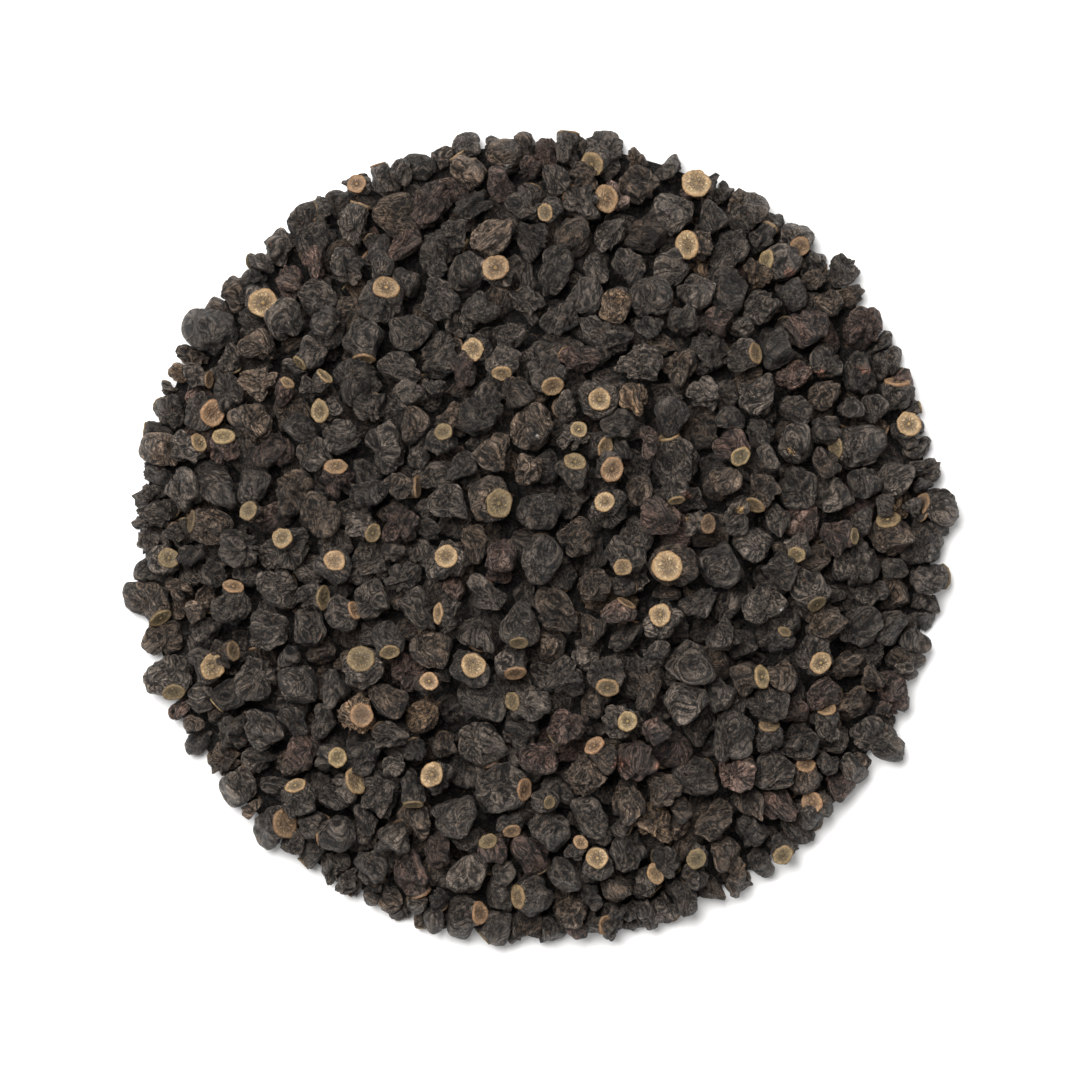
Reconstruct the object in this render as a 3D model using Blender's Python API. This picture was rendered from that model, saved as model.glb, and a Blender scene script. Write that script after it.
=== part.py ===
"""A heap of dried blackcurrants as it lies on a flat surface.

The berries are separate fruits, some hundreds of them, each with a pale round crown scar at one end.
They are placed by one seeded rule and joined into a single body, because so many small loose pieces
cannot be handled one by one. Sizes are in millimetres here and become metres in the mesh.
"""

import math

import bmesh
import bpy
import numpy as np

# The heap
MM = 0.001
HEAP_RADIUS = 53.6
HEAP_HEIGHT = 20.0
RIM_HEIGHT = 4.4
SLOPE_POWER = 1.9
FILLER_COUNT = 930
RIM_FILLERS = 160
SEED = 411

# The berries
MIDDLE_WIDTH = 5.5
WIDTH_SPREAD = 0.95
LEAST_WIDTH = 3.6
GREATEST_WIDTH = 7.4
SQUEEZE = 0.9
LEAST_GIRTH = 0.66
DENT_REACH = 0.16
CROWN_FADE = 1.6
SETTLE_STEPS = 240
PAIR_STEPS = 8
NEAR_MARGIN = 1.2
PUSH = 0.34
SETTLE_DROP = 0.02
DEEPEST_SINK = 2.2
DEEPEST_INSET = 2.0

# Where the crown scars and the larger plain berries show, read from the picture in its own pixels
MM_PER_PIXEL = 0.131
MIDDLE_PIXEL = (538, 538)
# x, y of the crown, berry width, crown width, lean of the crown from upright, way it leans (anticlockwise from +X)
CROWNED = [
    (357, 184, 4.6, 2.6, 15, 90), (310, 212, 4.8, 2.8, 55, 180), (264, 304, 5.8, 3.9, 12, 270),
    (387, 289, 7.4, 3.7, 45, 80), (326, 377, 5.0, 2.6, 65, 50), (365, 362, 6.6, 3.0, 68, 265),
    (216, 414, 6.0, 3.6, 35, 350), (225, 434, 5.4, 3.2, 55, 90), (200, 443, 6.0, 2.6, 45, 30),
    (319, 412, 4.8, 3.1, 42, 180), (337, 465, 5.8, 3.1, 52, 95), (250, 511, 5.0, 2.6, 28, 145),
    (283, 537, 7.0, 2.8, 30, 130), (336, 560, 5.4, 2.9, 15, 90), (170, 558, 5.6, 2.8, 15, 60),
    (374, 533, 5.2, 2.5, 35, 330), (235, 585, 6.6, 2.9, 55, 80), (327, 597, 5.2, 3.3, 58, 0),
    (161, 617, 7.0, 3.2, 60, 300), (237, 650, 5.2, 2.7, 55, 10), (215, 667, 6.2, 3.6, 25, 330),
    (362, 656, 6.8, 3.7, 25, 90), (391, 651, 5.2, 2.7, 50, 280), (175, 693, 7.2, 3.0, 45, 270),
    (363, 714, 6.4, 3.1, 14, 0), (338, 756, 5.2, 2.7, 30, 350), (359, 779, 5.0, 3.6, 52, 20),
    (296, 784, 6.2, 2.8, 50, 110), (288, 823, 7.0, 4.2, 42, 0), (430, 680, 4.4, 2.5, 10, 90),
    (474, 664, 6.4, 3.4, 15, 30), (516, 674, 5.6, 2.9, 58, 280), (519, 641, 6.4, 2.5, 55, 270),
    (438, 613, 5.0, 2.9, 65, 180), (447, 556, 6.4, 3.0, 8, 90), (470, 420, 6.6, 2.8, 45, 0),
    (444, 431, 5.2, 2.6, 38, 95), (473, 351, 5.8, 3.1, 12, 200), (495, 269, 5.8, 3.7, 20, 150),
    (502, 375, 5.2, 2.7, 45, 270), (553, 388, 6.2, 3.1, 42, 300), (599, 401, 6.6, 3.0, 10, 300),
    (545, 214, 4.6, 2.5, 35, 200), (602, 200, 5.4, 3.9, 42, 180), (592, 165, 7.0, 3.4, 38, 215),
    (696, 184, 6.8, 4.0, 12, 110), (684, 246, 5.8, 3.8, 38, 180), (799, 247, 5.8, 2.8, 28, 300),
    (763, 261, 6.8, 3.0, 48, 170), (755, 354, 5.2, 2.8, 55, 10), (897, 378, 6.0, 3.6, 74, 85),
    (908, 424, 6.2, 3.4, 15, 80), (836, 448, 7.8, 3.1, 50, 185), (886, 517, 7.4, 3.4, 50, 105),
    (920, 503, 6.2, 2.9, 52, 165), (795, 555, 4.6, 2.4, 35, 260), (815, 603, 6.2, 2.8, 58, 300),
    (820, 663, 7.4, 3.1, 28, 320), (762, 676, 5.6, 3.2, 55, 10), (768, 724, 5.2, 2.7, 52, 90),
    (805, 764, 6.2, 2.6, 48, 90), (810, 802, 5.2, 3.0, 20, 190), (782, 854, 6.0, 2.9, 28, 290),
    (696, 858, 4.8, 2.8, 15, 270), (656, 872, 5.2, 2.8, 42, 30), (597, 856, 4.8, 2.9, 12, 90),
    (606, 924, 5.6, 2.8, 40, 350), (517, 896, 7.0, 3.4, 58, 190), (481, 912, 6.6, 3.2, 48, 10),
    (488, 839, 5.0, 2.5, 45, 110), (525, 788, 7.6, 3.1, 55, 355), (432, 773, 6.4, 3.5, 25, 150),
    (593, 743, 5.2, 3.0, 50, 120), (627, 720, 5.6, 2.7, 22, 0), (607, 687, 6.8, 3.2, 42, 275),
    (659, 614, 6.4, 3.0, 8, 120), (665, 566, 7.4, 4.1, 20, 180), (622, 567, 5.8, 2.5, 32, 275),
    (604, 502, 6.8, 2.7, 10, 90), (612, 470, 5.0, 3.3, 30, 340), (575, 461, 6.0, 3.0, 42, 90),
    (500, 504, 7.4, 3.8, 20, 330), (581, 840, 4.6, 2.1, 35, 60), (414, 804, 5.6, 2.8, 72, 270),
    (212, 380, 4.6, 2.2, 62, 0), (289, 383, 4.4, 2.1, 58, 55), (301, 364, 5.0, 2.6, 72, 225),
    (190, 521, 6.8, 3.0, 74, 170), (420, 487, 5.4, 3.2, 76, 0), (578, 431, 5.2, 2.4, 35, 60),
    (606, 448, 5.0, 2.8, 45, 345), (668, 439, 7.8, 3.0, 74, 105), (740, 458, 5.4, 2.8, 40, 315),
    (676, 503, 4.6, 2.4, 68, 280), (753, 506, 5.6, 2.8, 55, 240), (708, 524, 4.8, 2.7, 45, 0),
    (855, 536, 6.4, 2.2, 60, 0), (783, 631, 4.4, 1.9, 50, 60), (627, 600, 5.0, 2.8, 76, 60),
    (512, 700, 6.4, 2.8, 50, 185), (550, 801, 4.8, 1.9, 40, 340), (512, 831, 4.8, 2.4, 50, 280),
    (825, 707, 6.8, 2.8, 55, 100), (355, 610, 5.2, 2.6, 60, 20),
]
# x, y of the berry's middle and its width
PLAIN = [
    (862, 328, 7.8), (824, 362, 6.4), (695, 292, 6.6), (762, 308, 6.4), (720, 565, 6.8), (855, 625, 7.2),
    (925, 577, 7.2), (872, 738, 7.4), (712, 818, 7.4), (680, 897, 6.8), (735, 876, 6.2), (627, 798, 6.6),
    (585, 772, 6.4), (455, 814, 7.0), (568, 912, 7.4), (340, 830, 6.8), (240, 786, 6.6), (267, 732, 6.6),
    (300, 684, 6.6), (272, 632, 7.4), (160, 512, 6.2), (346, 437, 6.0), (215, 333, 7.6), (347, 272, 6.6),
    (430, 208, 7.6), (506, 158, 6.4), (470, 150, 5.8), (640, 188, 6.8), (574, 236, 6.6), (640, 366, 7.0),
    (534, 428, 7.2), (757, 396, 6.6), (704, 398, 6.0), (745, 212, 6.6), (836, 272, 5.8), (576, 532, 6.2),
    (590, 584, 6.2), (720, 636, 6.0), (682, 704, 7.2), (735, 770, 6.6), (892, 480, 6.0), (718, 484, 5.8),
    (763, 605, 6.6), (568, 723, 6.4), (541, 757, 5.4), (661, 789, 5.6), (618, 310, 5.2), (527, 470, 4.8),
    (500, 555, 5.4), (464, 372, 5.6),
]

# The joined body
CORE_DEPTH = 4.2
CORE_INSET = 5.0
CORE_BASE = 2.2
CORE_RINGS = 6
CORE_SIDES = 24
BERRY_SIDES = 5
RING_ANGLES = (32.0, 98.0)
FACET_SWELL = 1.08
FACET_ROUGHNESS = 0.06
FACET_SEED = 10
MOST_TRIANGLES = 11300
SHOWN_STEP = 0.8
SIDE_VIEWS = 6
SIDE_VIEW_HEIGHT = 25.0
JOINED_OUTSIDE = 370
JOINED_BELOW = 90
SKIN_COLOUR = (0.022, 0.018, 0.017, 1.0)
SKIN_ROUGHNESS = 0.62

# The berry in the middle of the underside, whose flat spot the heap rests on
KEYSTONE_WIDTH = 6.6
KEYSTONE_HEIGHT = 0.62


def clear_scene():
    for item in list(bpy.data.objects):
        bpy.data.objects.remove(item, do_unlink=True)


def dome(x, y):
    """Height of the heap's top over the table: a flat-topped mound that falls to one berry at the rim."""
    reach = np.minimum(np.hypot(x, y) / HEAP_RADIUS, 1.0)
    return RIM_HEIGHT + (HEAP_HEIGHT - RIM_HEIGHT) * (1.0 - reach**SLOPE_POWER)


def to_heap(pixel_x, pixel_y):
    """A place in the picture as millimetres from the heap's middle."""
    x = (np.asarray(pixel_x, float) - MIDDLE_PIXEL[0]) * MM_PER_PIXEL
    y = (MIDDLE_PIXEL[1] - np.asarray(pixel_y, float)) * MM_PER_PIXEL
    return x, y


def unit(vectors):
    return vectors / np.linalg.norm(vectors, axis=-1, keepdims=True)


def seen_berries(draw):
    """Centres, widths, crown widths and crown directions of the berries that the picture fixes."""
    pixel_x, pixel_y, width, crown, lean, way = np.array(CROWNED, float).T
    lean, way = np.radians(lean), np.radians(way)
    facing = np.stack([np.sin(lean) * np.cos(way), np.sin(lean) * np.sin(way), np.cos(lean)], 1)
    x, y = to_heap(pixel_x, pixel_y)
    x = x - 0.45 * width * facing[:, 0]
    y = y - 0.45 * width * facing[:, 1]
    plain_x, plain_y, plain_width = np.array(PLAIN, float).T
    plain_x, plain_y = to_heap(plain_x, plain_y)
    hidden = unit(draw.normal(size=(len(PLAIN), 3)))
    hidden[:, 2] = -np.abs(hidden[:, 2]) - 0.1
    width = np.concatenate([width, plain_width])
    crown = np.concatenate([crown, 0.48 * plain_width])
    facing = unit(np.concatenate([facing, hidden]))
    x, y = np.concatenate([x, plain_x]), np.concatenate([y, plain_y])
    return np.stack([x, y, dome(x, y) - 0.47 * width], 1), width, crown, facing


def with_keystone(centre, width, crown, facing):
    """The same arrays with the keystone berry first, upright in the middle of the underside."""
    place = (0.0, 0.0, 0.5 * KEYSTONE_HEIGHT * KEYSTONE_WIDTH)
    return (
        np.concatenate([[place], centre]),
        np.concatenate([[KEYSTONE_WIDTH], width]),
        np.concatenate([[0.5 * KEYSTONE_WIDTH], crown]),
        np.concatenate([[(0.0, 0.0, 1.0)], facing]),
    )


def touching(centre, reach):
    """Pairs of berries near enough to meet soon."""
    gap = centre[:, None] - centre[None]
    near = (gap**2).sum(2) < (reach[:, None] + reach[None] + NEAR_MARGIN) ** 2
    return np.nonzero(np.triu(near, 1))


def settled(centre, radius, sink, inset, held):
    """Pushes touching berries apart, lets them sink, and keeps them on the table and under the dome."""
    centre = centre.copy()
    count = len(radius)
    free = np.where(held, 0.0, 1.0)
    give = np.stack([free, free, 0.3 + 0.7 * free], 1)
    give[0] = 0.0
    for step in range(SETTLE_STEPS):
        if step % PAIR_STEPS == 0:
            centre = np.round(centre, 6)
            one, other = touching(centre, radius)
            reach = SQUEEZE * (radius[one] + radius[other])
        gap = centre[one] - centre[other]
        distance = np.sqrt((gap**2).sum(1)) + 1e-6
        push = gap * (PUSH * np.maximum(reach - distance, 0.0) / distance)[:, None]
        for axis in range(3):
            moved = np.bincount(one, push[:, axis], count) - np.bincount(other, push[:, axis], count)
            centre[:, axis] += moved * give[:, axis]
        centre[:, 2] -= SETTLE_DROP * free
        rim = np.hypot(centre[:, 0], centre[:, 1]) + 1e-6
        inward = np.minimum(1.0, (HEAP_RADIUS - 0.95 * radius - inset) / rim)
        centre[:, :2] *= np.where(held, 1.0, inward)[:, None]
        ceiling = dome(centre[:, 0], centre[:, 1]) - 0.95 * radius - sink
        height = np.maximum(np.minimum(centre[:, 2], ceiling), 0.9 * radius)
        centre[1:, 2] = height[1:]
    return np.round(centre, 3)


def heap():
    """Every berry of the heap as arrays: centre, width, crown width, crown direction and form."""
    draw = np.random.default_rng(SEED)
    centre, width, crown, facing = with_keystone(*seen_berries(draw))
    seen = len(width)
    filler = np.clip(draw.normal(MIDDLE_WIDTH, WIDTH_SPREAD, FILLER_COUNT), LEAST_WIDTH, GREATEST_WIDTH)
    block = draw.uniform(-1.0, 1.0, (6 * FILLER_COUNT, 3)) * [HEAP_RADIUS, HEAP_RADIUS, HEAP_HEIGHT]
    block[:, 2] = np.abs(block[:, 2])
    inside = (np.hypot(block[:, 0], block[:, 1]) < HEAP_RADIUS) & (block[:, 2] < dome(block[:, 0], block[:, 1]))
    start = block[inside][:FILLER_COUNT]
    outward = HEAP_RADIUS / np.hypot(start[:RIM_FILLERS, 0], start[:RIM_FILLERS, 1])
    start[:RIM_FILLERS, :2] *= outward[:, None]
    width = np.concatenate([width, filler])
    crown = np.concatenate([crown, filler * draw.uniform(0.42, 0.56, FILLER_COUNT)])
    aside = unit(draw.normal(size=(FILLER_COUNT, 3)))
    aside[:, 2] = -np.abs(aside[:, 2])
    facing = np.concatenate([facing, aside])
    sink = np.concatenate([np.zeros(seen), DEEPEST_SINK * draw.random(FILLER_COUNT) ** 2])
    inset = DEEPEST_INSET * draw.random(len(width)) ** 2
    centre = np.concatenate([centre, start])
    held = np.arange(len(width)) < seen
    centre = settled(centre, 0.5 * width, sink, inset, held)
    dent_depth = draw.uniform(0.05, 0.26, (len(width), 4))
    dent_depth[0] = 0.0
    side = draw.normal(size=(len(width), 3))
    girth = draw.uniform(LEAST_GIRTH, 1.0, len(width))
    girth[:seen] = 0.5 + 0.5 * girth[:seen]
    return {
        "centre": centre,
        "width": width,
        "crown": crown,
        "facing": facing,
        "side": side,
        "girth": girth,
        "length": draw.uniform(0.84, 1.06, len(width)),
        "dent": unit(draw.normal(size=(len(width), 4, 3))),
        "dent_depth": dent_depth,
    }


def berry_form(berries, index, ray):
    """Points of one berry's skin along the given rays from its middle, crown end at +Z in its own axes."""
    crown_side = berries["facing"][index]
    across = unit(np.cross(crown_side, berries["side"][index]))
    axes = np.stack([across, np.cross(crown_side, across), crown_side])
    closeness = ray @ berries["dent"][index].T
    dents = (berries["dent_depth"][index] * np.exp((closeness - 1.0) / DENT_REACH)).sum(1)
    dents *= np.clip(CROWN_FADE * (1.0 - ray[:, 2]), 0.0, 1.0)
    point = ray * (1.0 - dents)[:, None]
    point[:, 1] *= berries["girth"][index]
    point[:, 2] *= berries["length"][index]
    flat = math.sqrt(1.0 - (berries["crown"][index] / berries["width"][index]) ** 2)
    point[:, 2] = np.minimum(point[:, 2], berries["length"][index] * flat)
    return berries["centre"][index] + 0.5 * berries["width"][index] * point @ axes


def berry_mesh(berries, index, draw):
    """A low, faceted berry: a flat crown, rings of a few sides, and a pointed tail."""
    mesh = bmesh.new()
    ray = [(0.0, 0.0, 1.0)]
    for ring, angle in enumerate(RING_ANGLES):
        polar = math.radians(angle)
        for side in range(BERRY_SIDES):
            turn = 2.0 * math.pi * (side + 0.5 * (ring % 2)) / BERRY_SIDES
            ray.append((math.sin(polar) * math.cos(turn), math.sin(polar) * math.sin(turn), math.cos(polar)))
    ray.append((0.0, 0.0, -1.0))
    point = berry_form(berries, index, np.array(ray))
    rough = FACET_SWELL + FACET_ROUGHNESS * draw.uniform(-1.0, 1.0, (len(ray), 1))
    rough[: BERRY_SIDES + 1] = 1.0
    point = berries["centre"][index] + (point - berries["centre"][index]) * rough
    corner = [mesh.verts.new(MM * p) for p in point]
    for side in range(BERRY_SIDES):
        after = (side + 1) % BERRY_SIDES
        mesh.faces.new((corner[0], corner[1 + side], corner[1 + after]))
        for ring in range(len(RING_ANGLES) - 1):
            upper, lower = 1 + ring * BERRY_SIDES, 1 + (ring + 1) * BERRY_SIDES
            if ring % 2 == 0:
                mesh.faces.new((corner[upper + side], corner[lower + side], corner[upper + after]))
                mesh.faces.new((corner[upper + after], corner[lower + side], corner[lower + after]))
            else:
                mesh.faces.new((corner[upper + side], corner[lower + side], corner[lower + after]))
                mesh.faces.new((corner[upper + side], corner[lower + after], corner[upper + after]))
        last = 1 + (len(RING_ANGLES) - 1) * BERRY_SIDES
        mesh.faces.new((corner[last + side], corner[-1], corner[last + after]))
    bmesh.ops.recalc_face_normals(mesh, faces=mesh.faces)
    return mesh


def shown_area(berries, toward):
    """Square millimetres of each berry that show to someone far off in the given direction."""
    right = unit(np.cross(toward, (0.31, 0.17, 0.05)))
    up = np.cross(toward, right)
    place = berries["centre"] @ np.stack([right, up, toward], 1)
    line = np.arange(-HEAP_RADIUS - MIDDLE_WIDTH, HEAP_RADIUS + MIDDLE_WIDTH, SHOWN_STEP)
    x, y = (grid.ravel() for grid in np.meshgrid(line, line))
    nearest = np.full(len(x), -np.inf)
    owner = np.zeros(len(x), int)
    for index, (centre, width) in enumerate(zip(place, berries["width"])):
        rise = (0.5 * width) ** 2 - (x - centre[0]) ** 2 - (y - centre[1]) ** 2
        nearness = np.where(rise > 0.0, centre[2] + np.sqrt(np.maximum(rise, 0.0)), -np.inf)
        nearer = nearness > nearest
        nearest[nearer] = nearness[nearer]
        owner[nearer] = index
    return SHOWN_STEP**2 * np.bincount(owner[np.isfinite(nearest)], minlength=len(berries["width"]))


def joined_berries(berries):
    """The berries that show most from above and from the sides, then those that show most from below."""
    turns = 2.0 * math.pi * np.arange(SIDE_VIEWS) / SIDE_VIEWS
    height = math.radians(SIDE_VIEW_HEIGHT)
    views = [(math.cos(height) * math.cos(t), math.cos(height) * math.sin(t), math.sin(height)) for t in turns]
    outside = np.max([shown_area(berries, np.array(view)) for view in views + [(0.0, 0.0, 1.0)]], axis=0)
    chosen = list(np.argsort(-outside, kind="stable")[:JOINED_OUTSIDE])
    below = shown_area(berries, np.array((0.0, 0.0, -1.0)))
    below[chosen] = 0.0
    below[0] = np.inf
    return chosen + list(np.argsort(-below, kind="stable")[:JOINED_BELOW])


def core_mesh():
    """A closed mound under the outer berries, turned from the dome's own curve."""
    mesh = bmesh.new()
    reach = HEAP_RADIUS - CORE_INSET
    rings = []
    for ring in range(1, CORE_RINGS + 1):
        radius = reach * math.sin(0.5 * math.pi * ring / CORE_RINGS)
        height = max(float(dome(radius, 0.0)) - CORE_DEPTH, CORE_BASE + 1.0)
        turns = [2.0 * math.pi * side / CORE_SIDES for side in range(CORE_SIDES)]
        rings.append([(radius * math.cos(turn), radius * math.sin(turn), height) for turn in turns])
    rings.append([(0.97 * x, 0.97 * y, CORE_BASE) for x, y, _ in rings[-1]])
    rows = [[mesh.verts.new([MM * value for value in point]) for point in ring] for ring in rings]
    top = mesh.verts.new((0.0, 0.0, MM * (HEAP_HEIGHT - CORE_DEPTH)))
    bottom = mesh.verts.new((0.0, 0.0, MM * CORE_BASE))
    for side in range(CORE_SIDES):
        after = (side + 1) % CORE_SIDES
        mesh.faces.new((top, rows[0][side], rows[0][after]))
        mesh.faces.new((bottom, rows[-1][after], rows[-1][side]))
        for upper, lower in zip(rows, rows[1:]):
            mesh.faces.new((upper[side], lower[side], lower[after], upper[after]))
    bmesh.ops.recalc_face_normals(mesh, faces=mesh.faces)
    bmesh.ops.triangulate(mesh, faces=mesh.faces)
    return mesh


def new_object(name, mesh, collection):
    """An object made from a bmesh, which is freed."""
    data = bpy.data.meshes.new(name)
    mesh.to_mesh(data)
    mesh.free()
    item = bpy.data.objects.new(name, data)
    collection.objects.link(item)
    return item


def table_block(collection):
    """A block whose top is the table, which cuts the flat spots that the lowest berries rest on."""
    mesh = bmesh.new()
    bmesh.ops.create_cube(mesh, size=1.0)
    bmesh.ops.scale(mesh, vec=(3.0 * MM * HEAP_RADIUS, 3.0 * MM * HEAP_RADIUS, 0.01), verts=mesh.verts)
    bmesh.ops.translate(mesh, vec=(0.0, 0.0, -0.005), verts=mesh.verts)
    block = new_object("table_block", mesh, collection)
    block.hide_render = True
    block.display_type = "WIRE"
    return block


def applied(item):
    """Puts what the object's modifiers make into its own mesh, as triangles."""
    shaped = item.evaluated_get(bpy.context.evaluated_depsgraph_get())
    data = bpy.data.meshes.new_from_object(shaped)
    item.modifiers.clear()
    item.data = data
    mesh = bmesh.new()
    mesh.from_mesh(data)
    bmesh.ops.triangulate(mesh, faces=mesh.faces)
    mesh.to_mesh(data)
    mesh.free()


def join_all(item, collection):
    """Joins every mesh of the collection to the object in one union."""
    union = item.modifiers.new("Join", "BOOLEAN")
    union.operation = "UNION"
    union.solver = "MANIFOLD"
    union.operand_type = "COLLECTION"
    union.collection = collection
    applied(item)


def cut_flat(item, block):
    """Cuts off what the block holds, and resolves any place where the thinned skin crosses itself."""
    cut = item.modifiers.new("Flat spots", "BOOLEAN")
    cut.operation = "DIFFERENCE"
    cut.solver = "EXACT"
    cut.use_self = True
    cut.object = block
    applied(item)


def thin_out(item):
    """Drops the smallest triangles, most of them slivers where two berries meet."""
    thinner = item.modifiers.new("Fewer faces", "DECIMATE")
    thinner.ratio = min(1.0, MOST_TRIANGLES / len(item.data.polygons))
    applied(item)


def keep_outer_body(data):
    """Drops sealed hollows and scraps that are loose or hang by one edge, which leaves the greatest body."""
    mesh = bmesh.new()
    mesh.from_mesh(data)
    left = set(mesh.faces)
    bodies = []
    while left:
        body, edge_of_body = set(), [left.pop()]
        while edge_of_body:
            face = edge_of_body.pop()
            body.add(face)
            for edge in (edge for edge in face.edges if edge.is_manifold):
                for beside in edge.link_faces:
                    if beside in left:
                        left.discard(beside)
                        edge_of_body.append(beside)
        bodies.append(body)
    volumes = [sum(f.calc_center_median().dot(f.normal) * f.calc_area() for f in body) for body in bodies]
    keep = bodies[volumes.index(max(volumes))]
    spare = [face for face in mesh.faces if face not in keep]
    bmesh.ops.delete(mesh, geom=spare, context="FACES")
    mesh.to_mesh(data)
    mesh.free()


def skin_material():
    material = bpy.data.materials.new("dried_skin")
    material.use_nodes = True
    shader = material.node_tree.nodes["Principled BSDF"]
    shader.inputs["Base Color"].default_value = SKIN_COLOUR
    shader.inputs["Roughness"].default_value = SKIN_ROUGHNESS
    shader.inputs["Metallic"].default_value = 0.0
    return material


def build_heap():
    scene = bpy.context.scene
    berries = heap()
    draw = np.random.default_rng(FACET_SEED)
    outer = bpy.data.collections.new("outer_berries")
    scene.collection.children.link(outer)
    for index in joined_berries(berries):
        new_object(f"berry_{index:03d}", berry_mesh(berries, index, draw), outer)
    body = new_object("dried_berry_heap", core_mesh(), scene.collection)
    block = table_block(scene.collection)
    join_all(body, outer)
    keep_outer_body(body.data)
    thin_out(body)
    cut_flat(body, block)
    keep_outer_body(body.data)
    for item in list(outer.objects) + [block]:
        bpy.data.objects.remove(item, do_unlink=True)
    bpy.data.collections.remove(outer)
    body.data.materials.clear()
    body.data.materials.append(skin_material())


clear_scene()
build_heap()
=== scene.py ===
import math
import bpy
import numpy as np
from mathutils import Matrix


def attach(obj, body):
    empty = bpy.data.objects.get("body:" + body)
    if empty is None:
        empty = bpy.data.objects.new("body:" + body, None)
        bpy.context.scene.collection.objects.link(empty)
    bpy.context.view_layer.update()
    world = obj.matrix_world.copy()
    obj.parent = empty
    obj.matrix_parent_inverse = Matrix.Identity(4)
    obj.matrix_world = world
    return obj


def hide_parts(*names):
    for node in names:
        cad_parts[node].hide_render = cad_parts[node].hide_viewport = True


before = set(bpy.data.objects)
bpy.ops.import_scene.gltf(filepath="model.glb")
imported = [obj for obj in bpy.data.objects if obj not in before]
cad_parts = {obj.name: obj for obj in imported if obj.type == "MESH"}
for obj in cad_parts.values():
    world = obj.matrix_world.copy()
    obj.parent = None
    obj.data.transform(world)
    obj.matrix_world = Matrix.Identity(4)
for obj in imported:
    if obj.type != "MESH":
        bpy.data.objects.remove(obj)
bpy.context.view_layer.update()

mm = 0.001


# Camera, floor and light
studio = {
    "mmPerPixel": 0.131,
    "frameWidth": 1080,  # pixels across the picture
    "sensorWidth": 36.0,
    "cameraHeight": 2.0,  # metres, far enough that the heap's top isn't drawn larger than its rim
    "aimX": 0.262, "aimY": -0.197,  # mm from the heap's middle to the picture's middle
    "floorSize": 3.0, "floorRoughness": 0.7,
    "floorColour": (0.80, 0.79, 0.775, 1.0),
    "skyStrength": 0.4, "skyColour": (0.97, 0.98, 1.0, 1.0),
    # lights: place in metres, turn round X and Y in degrees, width and power
    "lights": {
        "soft_box": {"place": (-0.35, 0.45, 1.25), "turn": (-20.0, -16.0), "size": 1.0, "power": 42.0},
        "soft_fill": {"place": (0.9, -0.7, 0.9), "turn": (38.0, 45.0), "size": 0.9, "power": 4.0},
    },
}


def setCamera():
    # lens from similar triangles: sensor width / lens = picture width on the floor / camera height
    data = bpy.data.cameras.new("straight_down")
    data.sensor_width = studio["sensorWidth"]
    across = studio["frameWidth"] * studio["mmPerPixel"] * mm
    data.lens = studio["sensorWidth"] * studio["cameraHeight"] / across
    camera = bpy.data.objects.new("straight_down", data)
    camera.location = (studio["aimX"] * mm, studio["aimY"] * mm, studio["cameraHeight"])
    bpy.context.scene.collection.objects.link(camera)
    bpy.context.scene.camera = camera


def setFloor():
    half = 0.5 * studio["floorSize"]
    corners = [(-half, -half, 0.0), (half, -half, 0.0), (half, half, 0.0), (-half, half, 0.0)]
    mesh = bpy.data.meshes.new("floor")
    mesh.from_pydata(corners, [], [(0, 1, 2, 3)])
    floor = bpy.data.objects.new("floor", mesh)
    bpy.context.scene.collection.objects.link(floor)
    paint = bpy.data.materials.new("pale_floor")
    paint.use_nodes = True
    shader = paint.node_tree.nodes["Principled BSDF"]
    shader.inputs["Base Color"].default_value = studio["floorColour"]
    shader.inputs["Roughness"].default_value = studio["floorRoughness"]
    mesh.materials.append(paint)


def setLight():
    world = bpy.data.worlds.new("studio_air")
    world.use_nodes = True
    sky = world.node_tree.nodes["Background"]
    sky.inputs["Color"].default_value = studio["skyColour"]
    sky.inputs["Strength"].default_value = studio["skyStrength"]
    bpy.context.scene.world = world
    for name, light in studio["lights"].items():
        data = bpy.data.lights.new(name, "AREA")
        data.shape = "DISK"
        data.size = light["size"]
        data.energy = light["power"]
        lamp = bpy.data.objects.new(name, data)
        lamp.location = light["place"]
        lamp.rotation_euler = (math.radians(light["turn"][0]), math.radians(light["turn"][1]), 0.0)
        bpy.context.scene.collection.objects.link(lamp)
    bpy.context.scene.view_settings.view_transform = "Standard"


setCamera()
setFloor()
setLight()
print("stage 2: camera, floor and light set")


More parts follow.
